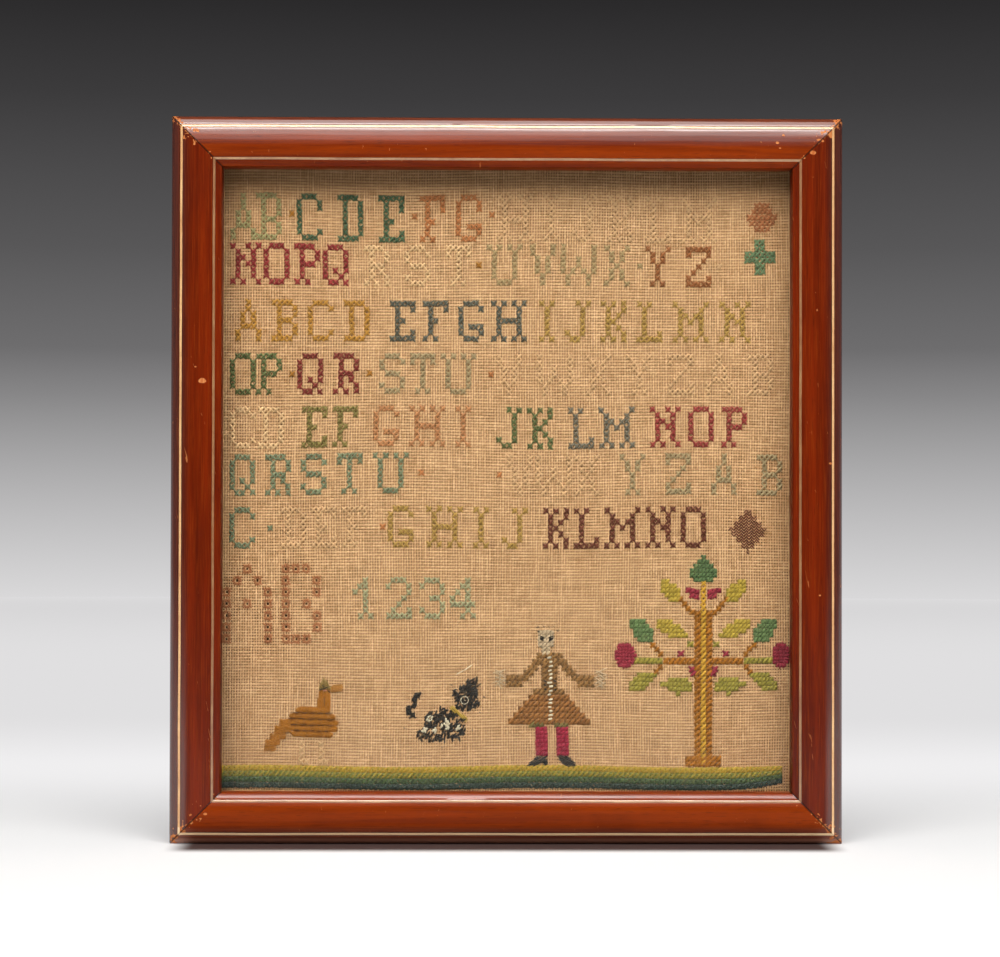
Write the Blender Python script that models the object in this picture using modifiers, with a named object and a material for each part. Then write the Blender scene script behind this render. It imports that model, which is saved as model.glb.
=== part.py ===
"""Framed cross stitch sampler, put together as a picture framer would.

Four mitred mahogany rails hold a pane of glass, the linen ground and a backing board in
their rebate, and two lines of pale boxwood stringing are let into the face of each rail.
The frame stands on its bottom rail: +Z is up, the stitched side looks along -Y, and the
origin is at the middle of the footprint. Lengths are in metres.
"""

import math
from collections import namedtuple

import bmesh
import bpy

# The frame as a whole
WIDTH = 0.2350
HEIGHT = 0.2540
DEPTH = 0.0200

# The moulding, as distances inward from its outer edge and forward from its back
RAIL_FACE = 0.0178
SHOULDER_HEIGHT = 0.0140
CROWN_INWARD = 0.0105
SIGHT_DROP = 0.0024
SIGHT_CHAMFER = 0.0005
REBATE_WIDTH = 0.0050
REBATE_HEIGHT = 0.0095
ARC_STEPS = 8
SLOPE_STEPS = 5

# The stringing
STRING_WIDTH = 0.0008
STRING_DEPTH = 0.0010
OUTER_STRING_INWARD = 0.0037
INNER_STRING_INWARD = 0.0152

# The room between touching pieces
GAP = 0.0003
MITRE_SETBACK = GAP / 2 * math.sqrt(2)

# What lies in the rebate, from the front to the back
PANE_THICKNESS = 0.0020
PANE_CLEARANCE = 0.0005
STITCH_ROOM = 0.0010
LINEN_THICKNESS = 0.0010
LINEN_CLEARANCE = 0.0008
LINEN_COCKLE = 0.0001
LINEN_EDGE_WANDER = 0.0003
LINEN_CELLS = (14, 15)
BOARD_THICKNESS = 0.0030
BOARD_EASING = 0.0003

PANE_FRONT = REBATE_HEIGHT - GAP
LINEN_FRONT = PANE_FRONT - PANE_THICKNESS - STITCH_ROOM
BOARD_FRONT = LINEN_FRONT - LINEN_THICKNESS - LINEN_COCKLE - GAP

REBATE_INSET = RAIL_FACE - REBATE_WIDTH
REBATE_OPENING = (WIDTH - 2 * REBATE_INSET, HEIGHT - 2 * REBATE_INSET)

# Each rail: its outer length, where its outer edge is centred and how it is turned about Y
Rail = namedtuple("Rail", "side length across up turn")
RAILS = (
    Rail("bottom", WIDTH, 0.0, 0.0, 0.0),
    Rail("right", HEIGHT, WIDTH / 2, HEIGHT / 2, -math.pi / 2),
    Rail("top", WIDTH, 0.0, HEIGHT, math.pi),
    Rail("left", HEIGHT, -WIDTH / 2, HEIGHT / 2, math.pi / 2),
)

Finish = namedtuple("Finish", "colour roughness metallic transmission")
FINISHES = {
    "mahogany": Finish((0.195, 0.041, 0.012), 0.28, 0.0, 0.0),
    "boxwood": Finish((0.720, 0.450, 0.215), 0.35, 0.0, 0.0),
    "pane": Finish((0.960, 0.980, 0.960), 0.02, 0.0, 1.0),
    "linen": Finish((0.480, 0.300, 0.135), 0.90, 0.0, 0.0),
    "board": Finish((0.290, 0.190, 0.110), 0.80, 0.0, 0.0),
}


def clear_scene():
    """Remove whatever the open file holds."""
    for obj in list(bpy.data.objects):
        bpy.data.objects.remove(obj)


def make_material(name):
    """A Principled material in the colour of one of the finishes."""
    finish = FINISHES[name]
    material = bpy.data.materials.new(name)
    material.use_nodes = True
    shader = material.node_tree.nodes["Principled BSDF"]
    shader.inputs["Base Color"].default_value = (*finish.colour, 1.0)
    shader.inputs["Roughness"].default_value = finish.roughness
    shader.inputs["Metallic"].default_value = finish.metallic
    shader.inputs["Transmission Weight"].default_value = finish.transmission
    return material


def add_part(name, mesh, collection, material):
    """Put a mesh into the sampler's collection as a part of its own."""
    part = bpy.data.objects.new(name, mesh)
    part.data.materials.append(material)
    collection.objects.link(part)
    return part


def face_height(inward):
    """How far the moulding's front stands forward, at a distance inward from its outer edge.

    A quarter of an ellipse rises from the shoulder to the crown, and from there the face
    falls in a long easy curve towards the sight edge.
    """
    if inward < CROWN_INWARD:
        rise = 1 - ((CROWN_INWARD - inward) / CROWN_INWARD) ** 2
        return SHOULDER_HEIGHT + (DEPTH - SHOULDER_HEIGHT) * math.sqrt(rise)
    run = (inward - CROWN_INWARD) / (RAIL_FACE - CROWN_INWARD)
    return DEPTH - SIGHT_DROP * run ** 2.5


def groove_edges(centre):
    """The two sides of the groove that a line of stringing is let into."""
    half = STRING_WIDTH / 2 + GAP
    return centre - half, centre + half


def groove_section(centre):
    """The four corners of a groove, from the outer side to the inner one."""
    outer, inner = groove_edges(centre)
    floor = min(face_height(outer), face_height(inner)) - STRING_DEPTH - GAP
    return [
        (outer, face_height(outer)),
        (outer, floor),
        (inner, floor),
        (inner, face_height(inner)),
    ]


def rail_section():
    """The moulding's cross-section, from its back up the outer side and over the face."""
    stations = [
        CROWN_INWARD * (1 - math.cos(math.pi / 2 * step / ARC_STEPS))
        for step in range(ARC_STEPS)
    ]
    slope_end = RAIL_FACE - SIGHT_CHAMFER
    stations += [
        CROWN_INWARD + (slope_end - CROWN_INWARD) * step / SLOPE_STEPS
        for step in range(SLOPE_STEPS + 1)
    ]
    face = [(inward, face_height(inward)) for inward in stations]
    for centre in (OUTER_STRING_INWARD, INNER_STRING_INWARD):
        outer, inner = groove_edges(centre)
        face = [point for point in face if not outer <= point[0] <= inner]
        before = sum(point[0] < outer for point in face)
        face[before:before] = groove_section(centre)
    sight_top = face_height(slope_end) - SIGHT_CHAMFER
    rebate = [
        (RAIL_FACE, sight_top),
        (RAIL_FACE, REBATE_HEIGHT),
        (REBATE_INSET, REBATE_HEIGHT),
        (REBATE_INSET, 0.0),
    ]
    return [(0.0, 0.0)] + face + rebate


def string_section(centre):
    """A strip of stringing, planed flush with the face."""
    outer = centre - STRING_WIDTH / 2
    inner = centre + STRING_WIDTH / 2
    floor = groove_section(centre)[1][1] + GAP
    return [
        (outer, floor),
        (outer, face_height(outer)),
        (centre, face_height(centre)),
        (inner, face_height(inner)),
        (inner, floor),
    ]


def add_mitred(name, section, rail, collection, material):
    """Sweep a section along a rail and cut both of its ends at 45 degrees."""
    shape = bmesh.new()
    outline = [
        shape.verts.new((-rail.length / 2, DEPTH / 2 - forward, inward))
        for inward, forward in section
    ]
    start = shape.faces.new(outline)
    swept = bmesh.ops.extrude_face_region(shape, geom=[start])["geom"]
    far_end = [item for item in swept if isinstance(item, bmesh.types.BMVert)]
    bmesh.ops.translate(shape, verts=far_end, vec=(rail.length, 0.0, 0.0))
    for vert in shape.verts:
        vert.co.x -= math.copysign(vert.co.z + MITRE_SETBACK, vert.co.x)
    bmesh.ops.recalc_face_normals(shape, faces=shape.faces)
    mesh = bpy.data.meshes.new(name)
    shape.to_mesh(mesh)
    shape.free()
    mesh.shade_smooth()
    mesh.set_sharp_from_angle(angle=math.radians(30))
    part = add_part(name, mesh, collection, material)
    part.location = (rail.across, 0.0, rail.up)
    part.rotation_euler.y = rail.turn
    return part


def add_flat(name, size, front, thickness, easing, collection, material):
    """A flat rectangular piece that lies in the rebate, its front a distance from the back."""
    shape = bmesh.new()
    bmesh.ops.create_cube(shape, size=1.0)
    bmesh.ops.scale(shape, verts=shape.verts, vec=(size[0], thickness, size[1]))
    mesh = bpy.data.meshes.new(name)
    shape.to_mesh(mesh)
    shape.free()
    part = add_part(name, mesh, collection, material)
    part.location = (0.0, DEPTH / 2 - front + thickness / 2, HEIGHT / 2)
    if easing:
        bevel = part.modifiers.new("eased edges", "BEVEL")
        bevel.width = easing
        bevel.segments = 1
    return part


def add_linen(collection, material):
    """The linen ground: a thin cloth, lightly cockled, its cut edges not quite straight."""
    width = REBATE_OPENING[0] - 2 * (LINEN_CLEARANCE + LINEN_EDGE_WANDER)
    height = REBATE_OPENING[1] - 2 * (LINEN_CLEARANCE + LINEN_EDGE_WANDER)
    cloth = bmesh.new()
    bmesh.ops.create_grid(
        cloth, x_segments=LINEN_CELLS[0], y_segments=LINEN_CELLS[1], size=0.5
    )
    for vert in cloth.verts:
        across, up, _ = vert.co
        edge = 2 * across
        rim = 2 * up
        vert.co.x = across * width + edge * LINEN_EDGE_WANDER * math.sin(9.0 * up + 0.7)
        vert.co.z = up * height + rim * LINEN_EDGE_WANDER * math.sin(11.0 * across + 2.0)
        vert.co.y = LINEN_COCKLE * math.sin(14.0 * across + 4.0 * up) * math.cos(10.0 * up)
    mesh = bpy.data.meshes.new("linen_ground")
    cloth.to_mesh(mesh)
    cloth.free()
    part = add_part("linen_ground", mesh, collection, material)
    part.location = (0.0, DEPTH / 2 - LINEN_FRONT + LINEN_THICKNESS / 2, HEIGHT / 2)
    thickness = part.modifiers.new("cloth thickness", "SOLIDIFY")
    thickness.thickness = LINEN_THICKNESS
    thickness.offset = 0.0
    return part


def main():
    clear_scene()
    sampler = bpy.data.collections.new("framed_sampler")
    bpy.context.scene.collection.children.link(sampler)
    materials = {name: make_material(name) for name in FINISHES}

    for rail in RAILS:
        add_mitred(f"rail_{rail.side}", rail_section(), rail, sampler, materials["mahogany"])
    for line, centre in (("outer", OUTER_STRING_INWARD), ("inner", INNER_STRING_INWARD)):
        for rail in RAILS:
            add_mitred(
                f"stringing_{line}_{rail.side}",
                string_section(centre),
                rail,
                sampler,
                materials["boxwood"],
            )

    pane_size = [side - 2 * PANE_CLEARANCE for side in REBATE_OPENING]
    add_flat(
        "glass_pane", pane_size, PANE_FRONT, PANE_THICKNESS, 0.0, sampler, materials["pane"]
    )
    add_linen(sampler, materials["linen"])
    add_flat(
        "backing_board",
        pane_size,
        BOARD_FRONT,
        BOARD_THICKNESS,
        BOARD_EASING,
        sampler,
        materials["board"],
    )


main()
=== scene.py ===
"""Looks for the framed cross stitch sampler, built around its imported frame.

The sampler stands on its bottom rail: +Z is up, the stitched side looks along -Y, and the
origin is at the middle of the footprint. Lengths are in metres. A place on the linen is
given as on a needleworker's chart, as columns from the left and rows from the top of the
sight opening. One cross covers one column and one row, which are two threads each way, so
whole and half places on the chart are holes in the weave.
"""

import itertools
import math
import random
from collections import namedtuple

import bmesh
import bpy
from mathutils import Euler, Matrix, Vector, noise


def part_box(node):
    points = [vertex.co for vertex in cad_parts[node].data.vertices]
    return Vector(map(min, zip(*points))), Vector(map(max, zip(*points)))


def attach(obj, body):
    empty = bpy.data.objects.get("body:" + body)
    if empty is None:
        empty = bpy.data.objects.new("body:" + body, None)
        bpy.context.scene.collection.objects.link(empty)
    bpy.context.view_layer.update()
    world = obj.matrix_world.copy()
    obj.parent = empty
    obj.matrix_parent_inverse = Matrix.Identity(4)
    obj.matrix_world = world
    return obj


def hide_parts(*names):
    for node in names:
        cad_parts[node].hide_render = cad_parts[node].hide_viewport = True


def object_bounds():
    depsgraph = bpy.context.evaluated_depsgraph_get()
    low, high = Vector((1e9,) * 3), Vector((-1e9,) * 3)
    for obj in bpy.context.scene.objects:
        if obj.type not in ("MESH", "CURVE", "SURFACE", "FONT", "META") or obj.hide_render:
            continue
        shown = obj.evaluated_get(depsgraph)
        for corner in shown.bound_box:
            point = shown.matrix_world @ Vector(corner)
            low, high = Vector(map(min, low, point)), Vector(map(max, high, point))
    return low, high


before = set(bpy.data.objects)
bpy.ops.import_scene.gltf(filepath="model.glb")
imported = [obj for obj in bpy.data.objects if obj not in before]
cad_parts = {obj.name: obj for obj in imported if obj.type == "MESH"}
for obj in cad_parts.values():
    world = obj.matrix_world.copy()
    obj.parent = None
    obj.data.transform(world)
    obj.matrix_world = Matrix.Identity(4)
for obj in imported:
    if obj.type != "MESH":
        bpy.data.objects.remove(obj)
CAD_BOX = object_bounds()

# The frame as a whole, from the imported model
WIDTH = CAD_BOX[1].x - CAD_BOX[0].x
HEIGHT = CAD_BOX[1].z - CAD_BOX[0].z
DEPTH = CAD_BOX[1].y - CAD_BOX[0].y
BACK = CAD_BOX[1].y

# The moulding, as distances inward from its outer edge and forward from its back
RAIL_FACE = 0.0178
SHOULDER_HEIGHT = 0.0140
CROWN_INWARD = 0.0105
SIGHT_DROP = 0.0024
SIGHT_CHAMFER = 0.0005
REBATE_WIDTH = 0.0050
REBATE_HEIGHT = 0.0095
REBATE_INSET = RAIL_FACE - REBATE_WIDTH
BACK_ARRIS = 0.0006
MITRE_SETBACK = 0.00007
SCRAPED_DEPTH = 0.00003
DENT_DEPTH = 0.0004

# The stringing and the shallow groove that it is glued into
STRING_WIDTH = 0.0008
STRING_LINES = {"outer": 0.0037, "inner": 0.0152}
GROOVE_HALF = STRING_WIDTH / 2 + 0.00006
GROOVE_DEPTH = 0.0004
GROOVE_LIP = 0.00008
GROOVE_EASING = 0.00005
GROOVE_ROOM = 0.0002
GLUE = 0.00003
STRING_PROUD = 0.00004
STRING_SHRUNK = 0.00002
STRING_WANDER = 0.00013
STRING_LIFT = 0.00003

# The linen and what is worked on it, forward from the back of the frame
LINEN_COCKLE = 0.0001
LINEN_EDGE_WANDER = 0.0003
CLOTH_BACKS = 0.00525
WEAVE_MIDDLE = 0.00558
WEAVE_FRONT = 0.00592
OPENING_WIDTH = WIDTH - 2 * RAIL_FACE
OPENING_HEIGHT = HEIGHT - 2 * RAIL_FACE

# How far the wavy cut edges reach past the flat size, and how much less the sheet itself is
EDGE_PEAKS = 0.00018
SHEET_TRIM = 0.0008

# The threads, and how uneven tension and the eyelets draw them aside
WARP_PITCH = 0.0254 / 28.1
WEFT_PITCH = 0.0254 / 24.4
WARP_HALF_WIDTH = 0.00028
WEFT_HALF_WIDTH = 0.00031
THREAD_DRIFT = 0.00028
THREAD_WOBBLE = 0.00016
THREAD_LIFT = 0.00012
THREAD_ARCH = 0.00022
SIDEWAYS_PULL = 0.00035
UPWARD_PULL = 0.00045
EYELET_REACH = 0.0019
EYELET_PUSH = 0.00056
STITCH_ROOT = 0.00012

# The chart
COLUMN = 2 * WARP_PITCH
ROW = 2 * WEFT_PITCH
CHART_LEFT = -112 * WARP_PITCH
CHART_TOP = HEIGHT / 2 + 106 * WEFT_PITCH
GROUND_CROSSES = 110

# Each rail: its outer length, where its outer edge is centred and how it is turned about Y
Rail = namedtuple("Rail", "side length across up turn")
RAILS = (
    Rail("bottom", WIDTH, 0.0, 0.0, 0.0),
    Rail("right", HEIGHT, WIDTH / 2, HEIGHT / 2, -math.pi / 2),
    Rail("top", WIDTH, 0.0, HEIGHT, math.pi),
    Rail("left", HEIGHT, -WIDTH / 2, HEIGHT / 2, math.pi / 2),
)


# ---------------------------------------------------------------- node trees


def maths(operation, swapped=False):
    """A method of a wire that puts it through a maths node, with another value if need be."""

    def apply(wire, *others):
        values = (*others, wire) if swapped else (wire, *others)
        return wire.tree.node("ShaderNodeMath", {"operation": operation}, dict(enumerate(values)))

    return apply


class Wire:
    """The output of a node, which can be used in a Python expression."""

    def __init__(self, tree, socket):
        self.tree = tree
        self.socket = socket

    __add__ = maths("ADD")
    __radd__ = maths("ADD", True)
    __sub__ = maths("SUBTRACT")
    __rsub__ = maths("SUBTRACT", True)
    __mul__ = maths("MULTIPLY")
    __truediv__ = maths("DIVIDE")
    __mod__ = maths("FLOORED_MODULO")
    __pow__ = maths("POWER")
    __gt__ = maths("GREATER_THAN")
    __lt__ = maths("LESS_THAN")
    least = maths("MINIMUM")
    most = maths("MAXIMUM")
    absolute = maths("ABSOLUTE")
    whole = maths("FLOOR")
    sine = maths("SINE")

    def clipped(self):
        return self.most(0.0).least(1.0)

    def between(self, low, high):
        """0 below low, 1 above high and a smooth rise from one to the other."""
        smooth = {"interpolation_type": "SMOOTHSTEP"}
        reach = {"Value": self, "From Min": low, "From Max": high}
        return self.tree.node("ShaderNodeMapRange", smooth, reach)


class Tree:
    """A node tree that is being filled."""

    def __init__(self, nodes):
        self.nodes = nodes

    def node(self, kind, settings=None, sockets=None, output=0):
        """Add a node, set it up and return one of its outputs."""
        made = self.nodes.nodes.new(kind)
        for name, value in (settings or {}).items():
            if name == "stops":
                self.set_stops(made.color_ramp, value)
            else:
                setattr(made, name, value)
        for name, value in (sockets or {}).items():
            self.feed(made.inputs[name], value)
        return Wire(self, made.outputs[output])

    def set_stops(self, ramp, stops):
        ramp.elements.remove(ramp.elements[1])
        ramp.elements[0].position = stops[0][0]
        ramp.elements[0].color = (*stops[0][1], 1.0)
        for place, colour in stops[1:]:
            ramp.elements.new(place).color = (*colour, 1.0)

    def feed(self, socket, value):
        """Link a wire to a socket, or set the socket to a plain value."""
        if isinstance(value, Wire):
            self.nodes.links.new(value.socket, socket)
        elif socket.type == "RGBA":
            socket.default_value = (*value, 1.0)
        else:
            socket.default_value = value

    def mix(self, factor, first, second):
        """first where the factor is 0 and second where it is 1."""
        sockets = {0: factor, 6: first, 7: second}
        return self.node("ShaderNodeMix", {"data_type": "RGBA"}, sockets, 2)

    def layered(self, tone, *layers):
        """A tone under further ones, each laid on by its own factor."""
        for factor, colour in layers:
            tone = self.mix(factor, tone, colour)
        return tone

    def axes(self, vector):
        """The three parts of a vector."""
        split = self.nodes.nodes.new("ShaderNodeSeparateXYZ")
        self.feed(split.inputs[0], vector)
        return [Wire(self, output) for output in split.outputs]

    def vector(self, across, deep, up):
        return self.node("ShaderNodeCombineXYZ", {}, {0: across, 1: deep, 2: up})

    def noise(self, vector, scale=1.0, detail=2.0, roughness=0.5, distortion=0.0):
        """A soft noise between 0 and 1."""
        shape = {"Scale": scale, "Detail": detail, "Roughness": roughness}
        shape |= {"Vector": vector, "Distortion": distortion}
        return self.node("ShaderNodeTexNoise", {}, shape)


class Finish(Tree):
    """A Principled material that is being put together."""

    def __init__(self, name):
        self.material = bpy.data.materials.new(name)
        self.material.use_nodes = True
        super().__init__(self.material.node_tree)
        self.principled = self.nodes.nodes["Principled BSDF"]
        self.place = self.node("ShaderNodeTexCoord", output=3)

    def set(self, **sockets):
        """Feed sockets of the Principled shader, named with _ for a space."""
        for name, value in sockets.items():
            self.feed(self.principled.inputs[name.replace("_", " ")], value)

    def bump(self, height, distance):
        """Raise the surface where the height is 1 by a distance in metres."""
        self.set(Normal=self.node("ShaderNodeBump", {}, {"Distance": distance, "Height": height}))

    def attribute(self, name, output):
        return self.node("ShaderNodeAttribute", {"attribute_name": name}, output=output)


def dye(red, green, blue):
    """The linear colour of an ordinary red, green and blue out of 255."""
    return tuple(
        part / 255 / 12.92 if part < 10.3 else ((part / 255 + 0.055) / 1.055) ** 2.4
        for part in (red, green, blue)
    )


# ---------------------------------------------------------------- materials


# Knocks that show pale wood: how far across and up, and how wide
KNOCKS = (
    (-0.1061, 0.1612, 0.0016),
    (-0.1085, 0.1660, 0.0005),
    (-0.1045, 0.0108, 0.0008),
    (0.0962, 0.2476, 0.0006),
    (0.0941, 0.2449, 0.0008),
    (0.0950, 0.2430, 0.0005),
    (0.1065, 0.2415, 0.0013),
    (0.1128, 0.1330, 0.0007),
    (0.1090, 0.0870, 0.0005),
)


def edge_distances(across, up):
    """How far a place on the frame is from its nearer side and from its nearer end."""
    return WIDTH / 2 - across.absolute(), HEIGHT / 2 - (up - HEIGHT / 2).absolute()


def mahogany_finish():
    """Red-brown mahogany under worn polish, pale where the mitres are rubbed and chipped.

    The grain runs along each rail, so its direction changes at the mitre, which is where a
    place is as far from the side edge as it is from the top or bottom edge.
    """
    wood = Finish("mahogany")
    across, deep, up = wood.axes(wood.place)
    from_side, from_end = edge_distances(across, up)
    inward = from_side.least(from_end)
    level_rail = from_end < from_side
    upright_rail = 1 - level_rail
    lower_rail = level_rail * (up < HEIGHT / 2)
    mitre_distance = (from_side - from_end).absolute() * 0.707
    along = level_rail * across + upright_rail * up
    rail_number = level_rail * 2.0 + (across > 0.0) * upright_rail
    rail_number = rail_number + (up > HEIGHT / 2) * level_rail
    girth = inward + (BACK - deep) * 0.6

    def drawn_out(lengthwise, crosswise, seed, *shape):
        """Noise that is drawn out along the rail."""
        spot = wood.vector(along * lengthwise, girth * crosswise, rail_number * seed)
        return wood.noise(spot, 1.0, *shape)

    long_grain = drawn_out(9.0, 260.0, 7.3, 4.0, 0.6, 0.4)
    fine_grain = drawn_out(60.0, 2400.0, 3.1, 3.0, 0.55)
    pores = drawn_out(190.0, 5200.0, 5.7, 1.0).between(0.62, 0.72)
    cloudy = wood.noise(wood.place, 38.0, 3.0, 0.6)

    def grained(low, first, second):
        """A colour of wood that follows the fine grain."""
        return wood.mix(fine_grain.between(low, 0.7), dye(*first), dye(*second))

    streak = long_grain.between(0.3, 0.72)
    # Painted light: the level rails get a lighter red than the upright ones, and the bottom rail
    # lighter still, for how the light falls on each rail.
    upright = wood.mix(streak, dye(114, 32, 3), dye(80, 19, 2))
    level = wood.mix(streak, dye(138, 50, 5), dye(98, 29, 4))
    level = wood.mix(lower_rail * 0.3, level, dye(160, 60, 4))
    red = wood.mix(level_rail, upright, level)
    # Painted shade: the outer band is a darker brown for the shade and dull reflection on the outer
    # slope, lighter on the level rails than on the upright ones.
    brown = wood.mix(
        level_rail,
        grained(0.35, (66, 24, 14), (94, 42, 24)),
        grained(0.35, (92, 40, 24), (124, 62, 38)),
    )
    painted_outer_shade = 1 - (inward + (long_grain - 0.5) * 0.003).between(0.0035, 0.0078)
    # Painted light: the lowest few millimetres of the bottom rail, which face down towards the table,
    # are made paler.
    painted_light_foot = lower_rail * (1 - inward.between(0.0012, 0.0026))
    tone = wood.layered(
        red,
        (fine_grain.between(0.45, 0.75) * 0.4, dye(138, 56, 10)),
        (painted_outer_shade * 0.85, brown),
        (cloudy.between(0.55, 0.8) * 0.25, dye(66, 20, 8)),
        (pores * 0.4, dye(44, 14, 5)),
        (painted_light_foot * 0.7, dye(188, 132, 104)),
    )

    rubbed_place = wood.vector(along * 700.0, inward * 420.0, rail_number * 11.0)
    rubbed = wood.noise(rubbed_place, 1.0, 4.0, 0.7)
    rub_reach = (0.0016 - inward * 0.10) * rubbed.between(0.44, 0.68)
    rubbed_mitre = 1 - (mitre_distance - rub_reach).between(-0.00012, 0.00012)
    chips = wood.noise(wood.place, 420.0, 2.0, 0.6)
    near_corner = 1 - inward.between(0.004, 0.013)
    chipped = (chips + near_corner * 0.13 - mitre_distance * 60.0).between(0.60, 0.63)
    bare = (rubbed_mitre * near_corner).most(chipped)
    edges = wood.noise(wood.place, 800.0, 2.0, 0.7)
    length = {"operation": "LENGTH"}
    for knock_across, knock_up, breadth in KNOCKS:
        to_knock = wood.vector(across - knock_across, 0.0, (up - knock_up) * 1.5)
        distance = wood.node("ShaderNodeVectorMath", length, {0: to_knock}, "Value")
        bare = bare.most(1 - (distance + edges * breadth * 0.6).between(breadth, breadth * 1.2))
    scratch_place = wood.vector(along * 260.0 + across * 900.0, girth * 500.0, rail_number)
    scratches = wood.noise(scratch_place, 1.0, 2.0, 0.4, 1.5).between(0.75, 0.765)
    bare = bare.most(scratches * 0.6).clipped()
    gap_dirt = 1 - mitre_distance.between(0.0001, 0.0004)
    in_rebate = (inward > REBATE_INSET + 0.0001) * (deep > BACK - REBATE_HEIGHT - 0.0001)
    unpolished = (deep > BACK - 0.0004).most(in_rebate)
    tone = wood.layered(
        tone,
        (bare, grained(0.3, (212, 136, 80), (172, 90, 44))),
        (gap_dirt * 0.8, dye(34, 12, 6)),
        (unpolished * 0.85, grained(0.3, (136, 88, 56), (92, 54, 34))),
    )

    worn_top = inward.between(0.0075, 0.0122) * (level_rail - lower_rail)
    worn_foot = inward.between(0.0050, 0.0066) * (1 - inward.between(0.0112, 0.0130)) * lower_rail
    worn_side = inward.between(0.0050, 0.0070) * upright_rail * 0.9
    worn_slope = inward.between(0.0128, 0.0140) * lower_rail * 0.6
    polish = (1 - (worn_top + worn_foot + worn_side) * 0.95) * (1 - worn_slope)
    polish = polish * (1 - fine_grain.between(0.42, 0.7) * 0.3)
    gloss_lost = (bare + unpolished).clipped()
    dull = 0.30 + fine_grain * 0.12 + cloudy * 0.08 + gloss_lost * 0.35
    wood.set(Base_Color=tone, Roughness=dull, Coat_Weight=(0.9 - gloss_lost * 0.8) * polish)
    wood.set(Coat_Roughness=0.10, Coat_IOR=1.8, Specular_IOR_Level=0.04)
    wood.bump(fine_grain * 0.5 - pores * 0.4 - bare * 1.2 - scratches * 0.4, 0.00004)
    return wood.material


def boxwood_finish():
    """Pale boxwood stringing, darker where polish has built up and on the inner line."""
    wood = Finish("boxwood")
    patches = wood.noise(wood.place, 90.0, 4.0, 0.65)
    flecks = wood.noise(wood.place, 1500.0, 2.0)
    across, _, up = wood.axes(wood.place)
    from_side, from_end = edge_distances(across, up)
    inner_line = from_side.least(from_end) > 0.010
    upright = from_side < from_end
    tone = wood.layered(
        dye(240, 192, 134),
        (patches.between(0.3, 0.7), dye(214, 156, 100)),
        (flecks.between(0.5, 0.75) * 0.3, dye(168, 104, 60)),
        (patches.between(0.66, 0.78) * 0.6, dye(132, 72, 36)),
        # The inner line is darker, and on the upright rails darker still, where that extra darkening
        # is painted shade.
        (inner_line * (patches * 0.5 + 0.35 + upright * 0.2), dye(122, 70, 34)),
        # Painted light: the stringing within 6 mm of the table, on the bottom rail's downward-facing
        # edge, is made paler.
        ((up < 0.006) * 0.7, dye(255, 222, 176)),
    )
    wood.set(Base_Color=tone, Roughness=0.34 + patches * 0.12, Coat_Weight=0.8)
    wood.set(Coat_Roughness=0.12, Coat_IOR=1.7)
    wood.bump(flecks, 0.00002)
    return wood.material


def pane_finish():
    """Thin picture glass: clear, and open to the light that reaches the linen."""
    glass = Finish("pane")
    glass.set(Base_Color=(0.97, 0.98, 0.96), Roughness=0.0, IOR=1.18, Transmission_Weight=1.0)
    shadow_ray = glass.node("ShaderNodeLightPath", output="Is Shadow Ray")
    clear = glass.node("ShaderNodeBsdfTransparent", {}, {"Color": (0.97, 0.98, 0.97)})
    principled = Wire(glass, glass.principled.outputs[0])
    both = glass.node("ShaderNodeMixShader", {}, {0: shadow_ray, 1: principled, 2: clear})
    glass.feed(glass.nodes.nodes["Material Output"].inputs["Surface"], both)
    return glass.material


def board_finish():
    """The backing board: plain sawn softwood that has browned in the air."""
    wood = Finish("board")
    across, deep, up = wood.axes(wood.place)
    rings = wood.noise(wood.vector(across * 70.0, deep * 70.0, up * 3.5), 1.0, 4.0, 0.6, 0.8)
    fibres = wood.noise(wood.vector(across * 1500.0, deep * 1500.0, up * 30.0), 1.0, 3.0)
    saw_marks = (up * 2600.0 + fibres * 1.2 + across * 90.0).sine()
    stains = wood.noise(wood.place, 16.0, 3.0).between(0.55, 0.75)
    tone = wood.layered(
        dye(150, 112, 76),
        (rings.between(0.35, 0.65), dye(118, 80, 50)),
        (fibres.between(0.5, 0.8) * 0.5, dye(86, 56, 36)),
        (stains * 0.35, dye(84, 58, 40)),
    )
    wood.set(Base_Color=tone, Roughness=0.78 + fibres * 0.15)
    wood.bump(fibres * 0.6 + saw_marks * 0.2, 0.00012)
    return wood.material


def linen_darkening(cloth):
    """How much darker and browner the linen is: more towards the sight edges and in a few soft
    stains.
    """
    across, _, up = cloth.axes(cloth.place)
    from_side = (across / (OPENING_WIDTH / 2)).absolute()
    from_end = ((up - HEIGHT / 2) / (OPENING_HEIGHT / 2)).absolute()
    rim = (from_side ** 4.0 * 0.45 + from_end ** 5.0 * 0.25).clipped()
    clouds = cloth.noise(cloth.place, 22.0, 4.0, 0.6)
    return (rim * 0.8 + (clouds - 0.5) * 0.9).clipped()


def thread_finish():
    """One linen thread: pale flax, browner towards the sight edges and in stains, slubby and a little
    fuzzy.
    """
    cloth = Finish("linen")
    fibres = cloth.noise(cloth.place, 5200.0, 2.0, 0.6)
    slubs = cloth.noise(cloth.place, 900.0, 3.0, 0.65)
    tone = cloth.layered(
        dye(166, 129, 92),
        (cloth.attribute("thread_tone", 2), dye(212, 172, 130)),
        (slubs.between(0.4, 0.75) * 0.45, dye(156, 110, 66)),
        (linen_darkening(cloth) * 0.6, dye(148, 98, 54)),
    )
    cloth.set(Base_Color=tone, Roughness=0.88, Specular_IOR_Level=0.2)
    cloth.bump(fibres, 0.00006)
    return cloth.material


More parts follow.
